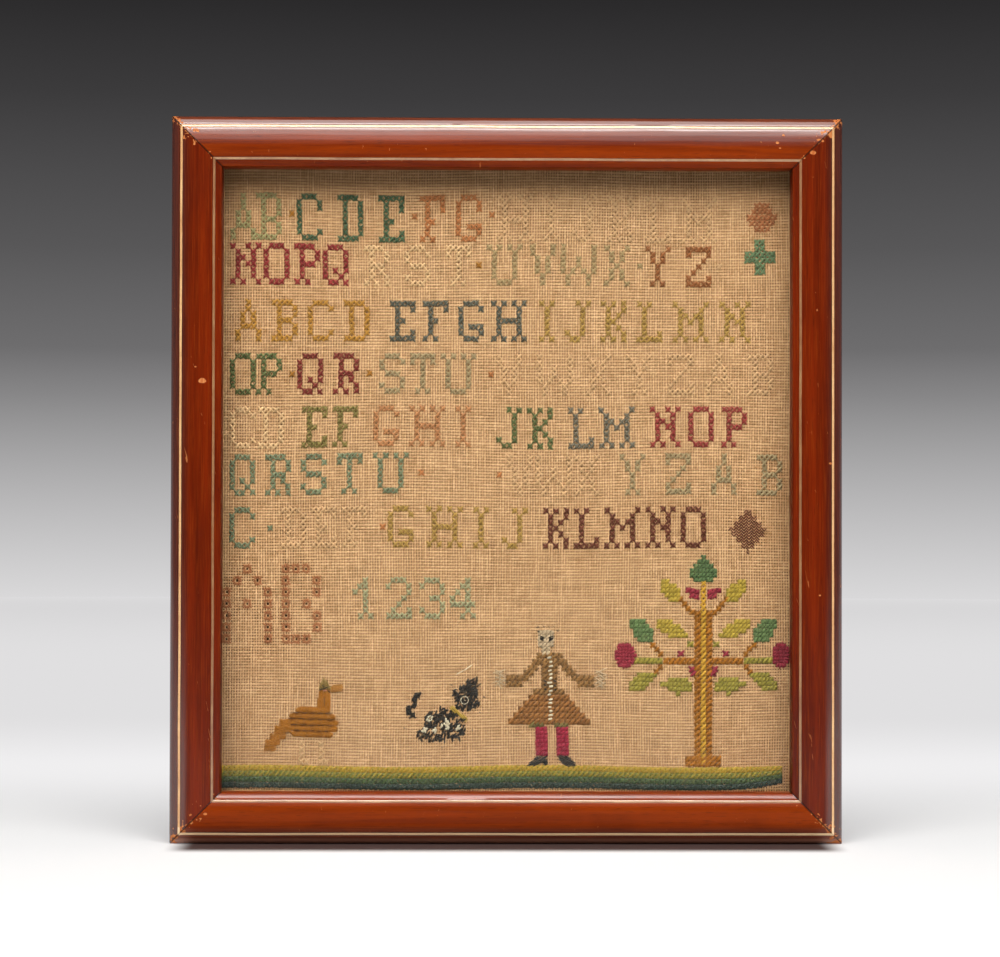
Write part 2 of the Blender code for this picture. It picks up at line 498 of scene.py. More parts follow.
def hole_shade_finish():
    """Painted shade for the holes between the threads: the sheet behind the weave is a near-black
    brown, seen down the holes.
    """
    cloth = Finish("linen_back")
    weave = cloth.noise(cloth.place, 1100.0, 2.0)
    # Painted shade: near-black browns stand in for the shade down the holes, not the flax colour of
    # the linen.
    tone = cloth.layered(
        dye(40, 17, 6),
        (weave.between(0.35, 0.65), dye(62, 29, 11)),
        (linen_darkening(cloth) * 0.6, dye(36, 15, 6)),
    )
    cloth.set(Base_Color=tone, Roughness=0.95, Specular_IOR_Level=0.1)
    cloth.bump(weave, 0.0001)
    return cloth.material


def silk_finish():
    """Embroidery thread in its own dye, twisted, with painted shade in the grooves of the twist and
    with faded and worn places.
    """
    silk = Finish("silk")
    chart = silk.node("ShaderNodeUVMap", {"uv_map": "UVMap"})
    along, round_thread, _ = silk.axes(chart)
    twist = (along * 28.0 + round_thread * 9.0).sine() * 0.5 + 0.5
    wear = silk.noise(silk.place, 260.0, 3.0, 0.6)
    fibres = silk.noise(silk.place, 3800.0, 2.0, 0.6)
    tone = silk.layered(
        silk.attribute("thread_colour", 0),
        (wear.between(0.55, 0.85) * 0.22, dye(196, 160, 112)),
        # Painted shade: the grooves between the twisted strands are darkened towards black.
        ((1 - twist) * 0.22, (0.02, 0.012, 0.006)),
        (fibres.between(0.5, 0.85) * 0.10, dye(230, 200, 156)),
    )
    silk.set(Base_Color=tone, Roughness=0.6 + fibres * 0.15, Specular_IOR_Level=0.25)
    silk.bump(twist * 0.7 + fibres * 0.5, 0.00006)
    return silk.material


# ---------------------------------------------------------------- frame pieces


def new_mesh(name, shape):
    """A mesh of what has been built in a bmesh, which is then given up."""
    mesh = bpy.data.meshes.new(name)
    shape.to_mesh(mesh)
    shape.free()
    return mesh


def add_piece(name, mesh, material, smooth=True):
    """Put a finished mesh into the scene as a piece that rides on the frame."""
    piece = bpy.data.objects.new(name, mesh)
    bpy.context.scene.collection.objects.link(piece)
    if material.name not in [owned.name for owned in mesh.materials if owned]:
        mesh.materials.clear()
        mesh.materials.append(material)
    if smooth:
        mesh.shade_smooth()
    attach(piece, "root")
    return piece


def face_height(inward):
    """How far the moulding's front stands forward, at a distance inward from its outer edge."""
    if inward < CROWN_INWARD:
        rise = 1 - ((CROWN_INWARD - inward) / CROWN_INWARD) ** 2
        return SHOULDER_HEIGHT + (DEPTH - SHOULDER_HEIGHT) * math.sqrt(max(rise, 0.0))
    run = (inward - CROWN_INWARD) / (RAIL_FACE - CROWN_INWARD)
    return DEPTH - SIGHT_DROP * run ** 2.5


def string_wander(rail, along, centre):
    """How far the stringing strays sideways from its straight line."""
    seed = 3.0 * len(rail.side) + 40.0 * centre * 1000
    return STRING_WANDER * noise.noise(Vector((along * 30.0, seed, 0.0)))


def rail_profile():
    """The moulding's section, each point with the stringing line it follows, if any."""
    back = [(BACK_ARRIS, 0.0), (0.0, BACK_ARRIS)]
    back += [(0.0, SHOULDER_HEIGHT * step / 6) for step in range(1, 6)]
    slope_end = RAIL_FACE - SIGHT_CHAMFER
    face = [CROWN_INWARD * (1 - math.cos(math.pi / 2 * step / 20)) for step in range(20)]
    face += [CROWN_INWARD + (slope_end - CROWN_INWARD) * step / 14 for step in range(15)]
    face = [(inward, face_height(inward), None) for inward in face]
    for centre in STRING_LINES.values():
        outer, inner = centre - GROOVE_HALF, centre + GROOVE_HALF
        face = [point for point in face if abs(point[0] - centre) > GROOVE_HALF + GROOVE_ROOM]
        before = sum(point[0] < outer for point in face)
        floor = face_height(centre) - GROOVE_DEPTH
        outer_lip, inner_lip = outer - GROOVE_LIP, inner + GROOVE_LIP
        face[before:before] = [
            (outer_lip, face_height(outer_lip), centre),
            (outer, face_height(outer) - GROOVE_EASING, centre),
            (outer, floor, centre),
            (inner, floor, centre),
            (inner, face_height(inner) - GROOVE_EASING, centre),
            (inner_lip, face_height(inner_lip), centre),
        ]
    sight_top = face_height(slope_end) - SIGHT_CHAMFER
    sight = (
        (RAIL_FACE - SIGHT_CHAMFER * 0.3, sight_top + SIGHT_CHAMFER * 0.7),
        (RAIL_FACE, sight_top),
        (RAIL_FACE, (sight_top + REBATE_HEIGHT) / 2),
        (RAIL_FACE, REBATE_HEIGHT),
        (REBATE_INSET, REBATE_HEIGHT),
        (REBATE_INSET, 0.0),
    )
    return [(*point, None) for point in back] + face + [(*point, None) for point in sight]


def rail_steps(count):
    """Places from -1 to 1 along a rail, close together near its two mitres."""
    places = [-math.cos(math.pi * step / count) for step in range(count + 1)]
    return [0.45 * place + 0.55 * (2 * step / count - 1) for step, place in enumerate(places)]


def sweep(name, profile, rail, count, shape_point, sharp):
    """Sweep a closed section along a rail, between its two mitres.

    shape_point turns an inward, a forward and a distance along the rail into the finished
    inward and forward.
    """
    shape = bmesh.new()
    rings = []
    turn = Euler((0.0, rail.turn, 0.0)).to_matrix()
    place = Vector((rail.across, 0.0, rail.up))
    for step in rail_steps(count):
        ring = []
        for inward, forward, line in profile:
            along = step * (rail.length / 2 - inward - MITRE_SETBACK)
            inward, forward = shape_point(rail, inward, forward, line, along)
            along = step * (rail.length / 2 - inward - MITRE_SETBACK)
            ring.append(shape.verts.new(turn @ Vector((along, BACK - forward, inward)) + place))
        rings.append(ring)
    for ring, following in zip(rings, rings[1:]):
        for side in range(len(profile)):
            after = (side + 1) % len(profile)
            shape.faces.new((ring[side], ring[after], following[after], following[side]))
    shape.faces.new(rings[0])
    shape.faces.new(rings[-1][::-1])
    bmesh.ops.recalc_face_normals(shape, faces=shape.faces)
    mesh = new_mesh(name, shape)
    mesh.shade_smooth()
    mesh.set_sharp_from_angle(angle=math.radians(sharp))
    return mesh


def worn_moulding(rail, inward, forward, line, along):
    """A point of the moulding, with the gentle unevenness of scraped and handled wood."""
    if line is not None:
        inward += string_wander(rail, along, line)
    if forward > SHOULDER_HEIGHT * 0.9 and line is None and inward < RAIL_FACE - 0.0002:
        spot = Vector((along * 45.0, inward * 260.0, 7.0 * len(rail.side)))
        forward -= SCRAPED_DEPTH * (1.0 + noise.noise(spot))
        dent = noise.noise(Vector((along * 160.0, inward * 420.0, 3.0 + len(rail.side))))
        forward -= DENT_DEPTH * max(dent - 0.62, 0.0)
    return inward, min(forward, DEPTH)


def add_rails(mahogany):
    """The four mitred rails."""
    profile = rail_profile()
    for rail in RAILS:
        name = f"mahogany_{rail.side}"
        mesh = sweep(name, profile, rail, 150, worn_moulding, 40)
        piece = add_piece(name, mesh, mahogany, smooth=False)
        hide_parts(f"rail_{rail.side}")


def laid_in(rail, inward, forward, line, along):
    """A point of the stringing, which strays with its groove and lies a little unevenly."""
    lift = STRING_LIFT * noise.noise(Vector((along * 120.0, line * 3000.0, 5.0)))
    return inward + string_wander(rail, along, line), forward + lift


def add_stringing(boxwood):
    """Eight strips of boxwood, glued into their grooves and scraped almost flush."""
    half = STRING_WIDTH / 2
    for place, centre in STRING_LINES.items():
        floor = face_height(centre) - GROOVE_DEPTH + GLUE
        section = [(centre - half, floor, centre)]
        for share in (-1.0, -0.85, -0.4, 0.0, 0.4, 0.85, 1.0):
            inward = centre + share * half
            top = face_height(inward) + STRING_PROUD * (1 - share ** 4) - STRING_SHRUNK
            section.append((inward, top, centre))
        section.append((centre + half, floor, centre))
        for rail in RAILS:
            name = f"boxwood_{place}_{rail.side}"
            mesh = sweep(name, section, rail, 110, laid_in, 50)
            piece = add_piece(name, mesh, boxwood, smooth=False)
            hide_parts(f"stringing_{place}_{rail.side}")


# ---------------------------------------------------------------- linen


def cockle(across, up):
    """How far the stretched cloth stands back, with across and up from -0.5 to 0.5."""
    return LINEN_COCKLE * math.sin(14.0 * across + 4.0 * up) * math.cos(10.0 * up)


def pull(across, up):
    """How far uneven tension has pulled a place on the cloth, across and up."""
    sideways = SIDEWAYS_PULL * math.sin(55.0 * up + 1.3) * math.sin(38.0 * across + 0.5)
    upward = UPWARD_PULL * math.sin(61.0 * across + 0.7) * math.sin(33.0 * up + 0.4)
    return sideways, upward


def linen_size():
    """The size that the linen is cut to."""
    low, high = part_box("linen_ground")
    return high.x - low.x - EDGE_PEAKS, high.z - low.z - EDGE_PEAKS


def add_hole_shade_sheet(material):
    """A sheet behind the weave, which the separate threads lie on; its finish is the painted shade
    seen down the holes.
    """
    width, height = linen_size()
    cloth = bmesh.new()
    bmesh.ops.create_grid(cloth, x_segments=56, y_segments=60, size=0.5)
    for vert in cloth.verts:
        across, up, _ = vert.co
        wander_x = across * LINEN_EDGE_WANDER * math.sin(9.0 * up + 0.7)
        wander_z = up * LINEN_EDGE_WANDER * math.sin(11.0 * across + 2.0)
        vert.co.x = across * (width - SHEET_TRIM) + wander_x
        vert.co.z = HEIGHT / 2 + up * (height - SHEET_TRIM) + wander_z
        vert.co.y = BACK - CLOTH_BACKS + cockle(across, up)
    bmesh.ops.recalc_face_normals(cloth, faces=cloth.faces)
    if cloth.faces[:][0].normal.y > 0:
        bmesh.ops.reverse_faces(cloth, faces=cloth.faces)
    return add_piece("linen_sheet", new_mesh("linen_sheet", cloth), material)


def named_inputs(name, inputs):
    """Start a node group with its inputs, and return the wires that carry them."""
    group = bpy.data.node_groups.new(name, "GeometryNodeTree")
    group.interface.new_socket("Geometry", in_out="INPUT", socket_type="NodeSocketGeometry")
    for kind, labels in inputs.items():
        for label in labels:
            group.interface.new_socket(label, in_out="INPUT", socket_type=f"NodeSocket{kind}")
    group.interface.new_socket("Geometry", in_out="OUTPUT", socket_type="NodeSocketGeometry")
    tree = Tree(group)
    entry = group.nodes.new("NodeGroupInput")
    return tree, {socket.name: Wire(tree, socket) for socket in entry.outputs if socket.name}


def finish_tree(tree, geometry, material):
    """End a tree in real geometry that carries its material."""
    real = tree.node("GeometryNodeRealizeInstances", {}, {"Geometry": geometry})
    painted = tree.node("GeometryNodeSetMaterial", {}, {"Geometry": real, "Material": material})
    smooth = tree.node("GeometryNodeSetShadeSmooth", {}, {"Geometry": painted})
    leaving = tree.nodes.nodes.new("NodeGroupOutput")
    tree.feed(leaving.inputs[0], smooth)


def grown_mesh(name, start, group, values):
    """Run a node tree on a mesh and return the plain mesh that comes out."""
    carrier = bpy.data.objects.new(name, start)
    bpy.context.scene.collection.objects.link(carrier)
    modifier = carrier.modifiers.new(name, "NODES")
    modifier.node_group = group
    for item in group.interface.items_tree:
        if item.item_type == "SOCKET" and item.in_out == "INPUT" and item.name in values:
            modifier[item.identifier] = values[item.name]
    depsgraph = bpy.context.evaluated_depsgraph_get()
    mesh = bpy.data.meshes.new_from_object(carrier.evaluated_get(depsgraph))
    mesh.name = name
    bpy.data.objects.remove(carrier)
    return mesh


def thread_tree():
    """Parallel linen threads that pass over and under the ones that cross them.

    Each thread is a strip three points wide, arched to a round front, with one row of
    points at each crossing. Across and Along are the ways that the threads are counted
    and that they run.
    """
    tree, inputs = named_inputs(
        "woven_threads",
        {
            "Int": ("Threads", "Crossings", "First Thread"),
            "Float": ("Thread Pitch", "Crossing Pitch", "Half Width", "Parity", "Seed"),
            "Vector": ("Start", "Across", "Along"),
            "Object": ("Eyelets",),
            "Material": ("Material",),
        },
    )
    crossings = inputs["Crossings"]
    points = {"Vertices X": inputs["Threads"] * 3, "Vertices Y": crossings}
    grid = tree.node("GeometryNodeMeshGrid", {}, points)
    index = tree.node("GeometryNodeInputIndex")
    strip = (index / crossings).whole()
    crossing = index % crossings
    thread = (strip / 3.0).whole() + inputs["First Thread"]
    side = strip % 3.0 - 1.0

    def uneven(each_thread, each_crossing, seed, *shape):
        """Noise from thread to thread and from crossing to crossing."""
        spot = tree.vector(thread * each_thread, crossing * each_crossing, inputs["Seed"] + seed)
        return tree.noise(spot, 1.0, *shape)

    drift = uneven(0.37, 0.045, 0.0) - 0.5
    slub = uneven(5.3, 0.16, 9.0, 2.0, 0.6) - 0.5
    bulk = uneven(3.9, 0.0, 3.0, 0.0) - 0.5
    rough = uneven(7.1, 0.7, 13.0, 1.0) - 0.5
    half = inputs["Half Width"] * (1.0 + slub * 0.75 + bulk * 0.4 + rough * 0.6)
    lay = (thread + crossing + inputs["Parity"]) % 2.0 * 2.0 - 1.0
    out = lay * THREAD_LIFT + (1 - side.absolute()) * THREAD_ARCH + bulk * 0.00006 + rough * 0.0001

    def combined(operation, first, second):
        return tree.node("ShaderNodeVectorMath", {"operation": operation}, {0: first, 1: second})

    def scaled(vector, length):
        sockets = {"Vector": vector, "Scale": length}
        return tree.node("ShaderNodeVectorMath", {"operation": "SCALE"}, sockets)

    drawn = thread * inputs["Thread Pitch"] + drift * THREAD_DRIFT + rough * THREAD_WOBBLE
    sideways = drawn + side * half
    steps = scaled(inputs["Across"], sideways)
    runs = scaled(inputs["Along"], crossing * inputs["Crossing Pitch"])
    flat = combined("ADD", combined("ADD", steps, runs), inputs["Start"])
    across, _, up = tree.axes(flat)
    pulled = (up * 55.0 + 1.3).sine() * (across * 38.0 + 0.5).sine() * SIDEWAYS_PULL
    lifted = (across * 61.0 + 0.7).sine() * (up * 33.0 + 0.4).sine() * UPWARD_PULL
    across = across + pulled
    up = up + lifted

    holes = tree.node("GeometryNodeObjectInfo", {}, {"Object": inputs["Eyelets"]}, "Geometry")
    nearest = {"target_element": "POINTS"}
    at_hole = {0: holes, "Sample Position": tree.vector(across, 0.0, up)}
    hole = tree.node("GeometryNodeProximity", nearest, at_hole, "Position")
    distance = tree.node("GeometryNodeProximity", nearest, at_hole, "Distance")
    hole_across, _, hole_up = tree.axes(hole)
    push = (1 - distance.between(0.0, EYELET_REACH)) * EYELET_PUSH / distance.most(0.0001)
    across = across + (across - hole_across) * push
    up = up + (up - hole_up) * push

    width, height = linen_size()
    share_x = across / width
    share_z = (up - HEIGHT / 2) / height
    swell = (share_x * 14.0 + share_z * 4.0).sine() * (share_z * 10.0 + math.pi / 2).sine()
    place = tree.vector(across, BACK - WEAVE_MIDDLE - out + swell * LINEN_COCKLE, up)
    placed = tree.node("GeometryNodeSetPosition", {}, {"Geometry": grid, "Position": place})
    # The faces between one strip and the next are taken away
    face_strip = (index / (crossings - 1.0)).whole() % 3.0
    unwanted = {"Geometry": placed, "Selection": face_strip > 1.5}
    split = tree.node("GeometryNodeDeleteGeometry", {"domain": "FACE"}, unwanted)
    tone = uneven(2.7, 0.12, 5.0, 3.0, 0.65).between(0.3, 0.7)
    toned = tree.node(
        "GeometryNodeStoreNamedAttribute",
        {"data_type": "FLOAT", "domain": "POINT"},
        {"Geometry": split, "Name": "thread_tone", "Value": tone},
    )
    finish_tree(tree, toned, inputs["Material"])
    return tree.nodes


def add_weave(material, eyelets):
    """Warp and weft, each in two pieces that lie side by side, opened at each eyelet."""
    group = thread_tree()
    width, height = linen_size()
    warps = int((width - 0.001) / WARP_PITCH)
    wefts = int((height - 0.001) / WEFT_PITCH)
    left = -(warps - 1) / 2 * WARP_PITCH
    top = HEIGHT / 2 + (wefts - 1) / 2 * WEFT_PITCH
    # The warp is counted from the left and runs up, the weft is counted down and runs across
    warp = {
        "Crossings": wefts,
        "Thread Pitch": WARP_PITCH,
        "Crossing Pitch": WEFT_PITCH,
        "Half Width": WARP_HALF_WIDTH,
        "Start": (left, 0.0, top - (wefts - 1) * WEFT_PITCH),
        "Across": (1, 0, 0),
        "Along": (0, 0, 1),
        "Parity": wefts - 1.0,
        "Seed": 2.0,
    }
    weft = {
        "Crossings": warps,
        "Thread Pitch": WEFT_PITCH,
        "Crossing Pitch": WARP_PITCH,
        "Half Width": WEFT_HALF_WIDTH,
        "Start": (left, 0.0, top),
        "Across": (0, 0, -1),
        "Along": (1, 0, 0),
        "Parity": 1.0,
        "Seed": 31.0,
    }
    pieces = []
    for name, threads, values in (("warp", warps, warp), ("weft", wefts, weft)):
        values |= {"Eyelets": eyelets, "Material": material}
        middle = threads // 2
        for part, (first, count) in enumerate(((0, middle), (middle, threads - middle)), 1):
            values |= {"First Thread": first, "Threads": count}
            piece_name = f"linen_{name}_{part}"
            mesh = grown_mesh(piece_name, bpy.data.meshes.new(piece_name), group, values)
            pieces.append(add_piece(piece_name, mesh, material))
    return pieces


# ---------------------------------------------------------------- stitches

Leg = namedtuple("Leg", "start end width lift colour")


def chart_place(column, row):
    """Where a place on the chart is, as across and up."""
    across = CHART_LEFT + column * COLUMN
    up = CHART_TOP - row * ROW
    sideways, upward = pull(across, up)
    return across + sideways, up + upward


def direction(angle):
    """A step of one on the chart, at an angle above level."""
    return Vector((math.cos(angle), -math.sin(angle)))


def is_inside(outline, column, row):
    """Whether a place on the chart lies inside a closed outline."""
    inside = False
    for (column_a, row_a), (column_b, row_b) in zip(outline, outline[1:] + outline[:1]):
        if (row_a > row) != (row_b > row):
            if column < column_a + (row - row_a) / (row_b - row_a) * (column_b - column_a):
                inside = not inside
    return inside


def rounded(middle, wide, tall):
    """The outline of a round, reaching wide columns and tall rows from its middle."""
    return [
        (
            middle[0] + wide * math.cos(math.tau * step / 16),
            middle[1] + tall * math.sin(math.tau * step / 16),
        )
        for step in range(16)
    ]


def leaf_outline(stem, tip, breadth):
    """The outline of a pointed leaf, from its stem to its tip."""
    stem, tip = Vector(stem), Vector(tip)
    run = tip - stem
    side = Vector((run.y, -run.x)).normalized() * breadth / 2
    shape = ((0.16, 0.62), (0.42, 1.0), (0.68, 0.84), (0.9, 0.4))
    outline = [stem]
    outline += [stem + run * along + side * wide for along, wide in shape]
    outline += [tip]
    outline += [stem + run * along - side * wide for along, wide in reversed(shape)]
    return [tuple(corner) for corner in outline]


class Work:
    """Stitches of one part of the sampler, as legs of thread from hole to hole."""

    def __init__(self, name):
        self.name = name
        self.legs = []
        self.chance = random.Random(name)

    def shade(self, colour):
        """The dye with the small change that a hand-dyed skein shows."""
        factor = 1.0 + self.chance.uniform(-0.14, 0.14)
        return tuple(min(part * factor, 1.0) for part in colour)

    def leg(self, start, end, colour, width=0.00095, lift=0.00034, jitter=0.06):
        """One straight stitch between two places on the chart."""
        wobble = [self.chance.uniform(-jitter, jitter) for _ in range(4)]
        start = chart_place(start[0] + wobble[0], start[1] + wobble[1])
        end = chart_place(end[0] + wobble[2], end[1] + wobble[3])
        width = width * self.chance.uniform(0.86, 1.12)
        self.legs.append(Leg(start, end, width, lift, self.shade(colour)))

    def cross(self, column, row, colour, size=(1.0, 1.0), width=0.0008, packed=False):
        """A cross over one square of the chart, its top leg rising to the right.

        In a packed filling the lower leg is fuller, and its colour is darkened as painted shade.
        """
        wide, tall = size
        corners = (column, row), (column + wide, row + tall)
        if packed:
            width *= 1.18
            painted_shade_colour = tuple(part * 0.62 for part in colour)
            self.leg(*corners, painted_shade_colour, width * 1.2, 0.00030)
        else:
            self.leg(*corners, colour, width, 0.00030, 0.12)
        self.leg((column, row + tall), (column + wide, row), colour, width, 0.00054, 0.08)

    def patch(self, outline, colour, size=(1.0, 1.0), start=(0.0, 0.0), width=0.00092):
        """Crosses over every square of the chart whose middle lies in the outline."""
        wide, tall = size
        columns, rows = zip(*outline)
        row = start[1] + math.floor((min(rows) - start[1]) / tall) * tall
        while row < max(rows):
            column = start[0] + math.floor((min(columns) - start[0]) / wide) * wide
            while column < max(columns):
                if is_inside(outline, column + wide / 2, row + tall / 2):
                    self.cross(column, row, colour, size, width, True)
                column += wide
            row += tall

    def shaggy(self, outline, colour, tilt, spread, length, count, width=0.00052):
        """Short straight stitches thrown across a shape at uneven angles."""
        columns, rows = zip(*outline)
        placed = 0
        while placed < count:
            column = self.chance.uniform(min(columns), max(columns))
            row = self.chance.uniform(min(rows), max(rows))
            if not is_inside(outline, column, row):
                continue
            half = direction(tilt + self.chance.gauss(0.0, spread)) * length / 2
            half *= self.chance.uniform(0.7, 1.3)
            middle = Vector((column, row))
            lift = 0.00036 + 0.00022 * self.chance.random()
            self.leg(middle - half, middle + half, colour, width, lift, 0.02)
            placed += 1

    def eyelet(self, middle, colour):
        """Stitches from the rim of a small square into one hole at its middle."""
        middle = Vector(middle)
        for spoke in range(14):
            angle = math.tau * (spoke + 0.5) / 14
            ray = Vector((math.cos(angle), math.sin(angle)))
            rim = self.chance.uniform(0.74, 0.98) / max(abs(ray.x), abs(ray.y))
            self.leg(middle + ray * 0.34, middle + ray * rim, colour, 0.00050, 0.00022, 0.06)

    def satin(self, outline, colour, tilt=0.0, pitch=0.30, width=0.00062, lift=0.00040):
        """Close straight stitches across a shape, each turned by the tilt from level."""
        ray = direction(tilt)
        side = Vector((math.sin(tilt), math.cos(tilt)))
        corners = [Vector(corner) for corner in outline]
        levels = [corner.dot(side) for corner in corners]
        level = min(levels) + pitch / 2
        while level < max(levels):
            cuts = []
            for corner, following in zip(corners, corners[1:] + corners[:1]):
                low, high = corner.dot(side) - level, following.dot(side) - level
                if (low < 0) != (high < 0):
                    share = low / (low - high)
                    cuts.append((corner + (following - corner) * share).dot(ray))
            cuts.sort()
            for near, far in zip(cuts[::2], cuts[1::2]):
                if far - near > 0.25:
                    begin = ray * near + side * level
                    finish = ray * far + side * level
                    self.leg(begin, finish, colour, width, lift, 0.05)
            level += pitch


def stitch_leg_mesh():
    """One straight stitch, a unit long and wide and high, low at the two ends."""
    leg = bmesh.new()
    quarter = ((-0.5, 0.3, 0.02), (-0.33, 0.92, 0.80), (0.0, 1.0, 1.0))
    stations = quarter + tuple((-along, wide, rise) for along, wide, rise in quarter[1::-1])
    section = ((-0.5, 0.0), (-0.34, 0.72), (0.0, 1.0), (0.34, 0.72), (0.5, 0.0))
    rings = [
        [leg.verts.new((along, -high * rise, side * wide)) for side, high in section]
        for along, wide, rise in stations
    ]
    chart = leg.loops.layers.uv.new("UVMap")
    for place, (ring, following) in enumerate(zip(rings, rings[1:])):
        for edge in range(len(section) - 1):
            corners = (ring[edge], ring[edge + 1], following[edge + 1], following[edge])
            spots = ((0, edge), (0, edge + 1), (1, edge + 1), (1, edge))
            for loop, (ahead, up) in zip(leg.faces.new(corners).loops, spots):
                loop[chart].uv = (stations[place + ahead][0] + 0.5, up / 4)
    leg.normal_update()
    if leg.faces[:][5].normal.y > 0:
        bmesh.ops.reverse_faces(leg, faces=leg.faces)
    return new_mesh("stitch_leg", leg)


def stitch_tree(leg_object):
    """Set a stitch on every point, with the point's own turn, reach and colour."""
    kinds = {"Int": ("Seed",), "Float": ("Lean",), "Material": ("Material",)}
    tree, inputs = named_inputs("worked_stitches", kinds)

    def stored(name, kind):
        return tree.node("GeometryNodeInputNamedAttribute", {"data_type": kind}, {"Name": name})

    leans = {2: inputs["Lean"] * -1.0, 3: inputs["Lean"], "Seed": inputs["Seed"]}
    lean = tree.node("FunctionNodeRandomValue", {"data_type": "FLOAT"}, leans, 1)
    turn = tree.vector(lean, stored("turn", "FLOAT"), 0.0)
    leg = tree.node("GeometryNodeObjectInfo", {}, {"Object": leg_object}, "Geometry")
    stitches = {
        "Points": inputs["Geometry"],
        "Instance": leg,
        "Rotation": tree.node("FunctionNodeEulerToRotation", {}, {0: turn}),
        "Scale": stored("reach", "FLOAT_VECTOR"),
    }
    set_out = tree.node("GeometryNodeInstanceOnPoints", {}, stitches)
    finish_tree(tree, set_out, inputs["Material"])
    return tree.nodes


def worked(work, group, material):
    """Turn a part's legs into a mesh and put it on the linen."""
    width, height = linen_size()
    places, turns, reaches, colours = [], [], [], []
    for leg in work.legs:
        start, end = Vector(leg.start), Vector(leg.end)
        middle = (start + end) / 2
        run = end - start
        swell = cockle(middle.x / width, (middle.y - HEIGHT / 2) / height)
        places.append((middle.x, BACK - WEAVE_FRONT + swell + STITCH_ROOT, middle.y))
        turns.append(-math.atan2(run.y, run.x))
        reaches += [max(run.length * 1.02, 0.0004), leg.lift + STITCH_ROOT, leg.width]
        colours += [*leg.colour, 1.0]
    points = bpy.data.meshes.new(work.name)
    points.from_pydata(places, [], [])
    for name, kind, channel, values in (
        ("turn", "FLOAT", "value", turns),
        ("reach", "FLOAT_VECTOR", "vector", reaches),
        ("thread_colour", "FLOAT_COLOR", "color", colours),
    ):
        points.attributes.new(name, kind, "POINT").data.foreach_set(channel, values)
    values = {"Seed": len(work.legs), "Lean": 0.08, "Material": material}
    mesh = grown_mesh(work.name, points, group, values)
    for spent in ("turn", "reach"):
        if spent in mesh.attributes:
            mesh.attributes.remove(mesh.attributes[spent])
    return add_piece(work.name, mesh, material)


# ---------------------------------------------------------------- the chart

TREE_MIDDLE = 94.5
FINE_CROSS = (0.75, 0.75)

# Plain capitals, seven crosses tall, their strokes ending in forked feet
CAPITALS = {
    "A": "..#..|..#..|.#.#.|.#.#.|.###.|#...#|#...#",
    "B": "####.|.#..#|.#..#|.###.|.#..#|.#..#|####.",
    "C": ".###.|#...#|#....|#....|#....|#...#|.###.",
    "D": "####.|.#..#|.#..#|.#..#|.#..#|.#..#|####.",
    "E": "#####|.#..#|.#...|.##..|.#...|.#..#|#####",
    "F": "#####|.#..#|.#...|.##..|.#...|.#...|#.#..",
    "G": ".###.|#...#|#....|#....|#.###|#...#|.###.",
    "H": "#.#.#.#|.#...#.|.#...#.|.#####.|.#...#.|.#...#.|#.#.#.#",
    "I": "#.#|.#.|.#.|.#.|.#.|.#.|#.#",
    "J": "..#.#|...#.|...#.|...#.|...#.|#..#.|.##..",
    "K": "#.#.#|.#..#|.#.#.|.##..|.#.#.|.#..#|#.#.#",
    "L": "#.#..|.#...|.#...|.#...|.#...|.#..#|#####",
    "M": "#.....#|.#...#.|.##.##.|.#.#.#.|.#...#.|.#...#.|#.#.#.#",
    "N": "#..#.#|.#..#.|.##.#.|.#.##.|.#..#.|.#..#.|#.#..#",
    "O": ".###.|#...#|#...#|#...#|#...#|#...#|.###.",
    "P": "####.|.#..#|.#..#|.###.|.#...|.#...|#.#..",
    "Q": ".###.|#...#|#...#|#...#|#.#.#|#..#.|.##.#",
    "R": "####.|.#..#|.#..#|.###.|.#.#.|.#..#|#.#.#",
    "S": ".###.|#...#|#....|.###.|....#|#...#|.###.",
    "T": "#####|#.#.#|..#..|..#..|..#..|..#..|.#.#.",
    "U": "#.#.#.#|.#...#.|.#...#.|.#...#.|.#...#.|.#...#.|..###..",
    "V": "#...#|#...#|.#.#.|.#.#.|.#.#.|..#..|..#..",
    "W": "#.....#|#.....#|#..#..#|#..#..#|#.#.#.#|.#...#.|.#...#.",
    "X": "#...#|.#.#.|.#.#.|..#..|.#.#.|.#.#.|#...#",
    "Y": "#...#|.#.#.|.#.#.|..#..|..#..|..#..|.#.#.",
    "Z": "#####|#...#|...#.|..#..|.#...|#...#|#####",
}
FIGURES = {
    "1": "..#..|.##..|#.#..|..#..|..#..|..#..|.#.#.",
    "2": ".###.|#...#|....#|...#.|..#..|.#..#|#####",
    "3": ".###.|#...#|....#|..##.|....#|#...#|.###.",
    "4": "...#.|..##.|.#.#.|#..#.|#####|...#.|..#.#",
}
# Larger capitals, each mark an eyelet
EYELET_CAPITALS = {
    "A": "..#..|.#.#.|#...#|#.#.#|#...#|#...#|#...#",
    "B": "###..|#..#.|#..#.|#.#..|#..#.|#..#.|###..",
}
# The top of each row of letters
LETTER_TOPS = (4.5, 13.0, 22.5, 31.5, 40.5, 48.5, 57.5)

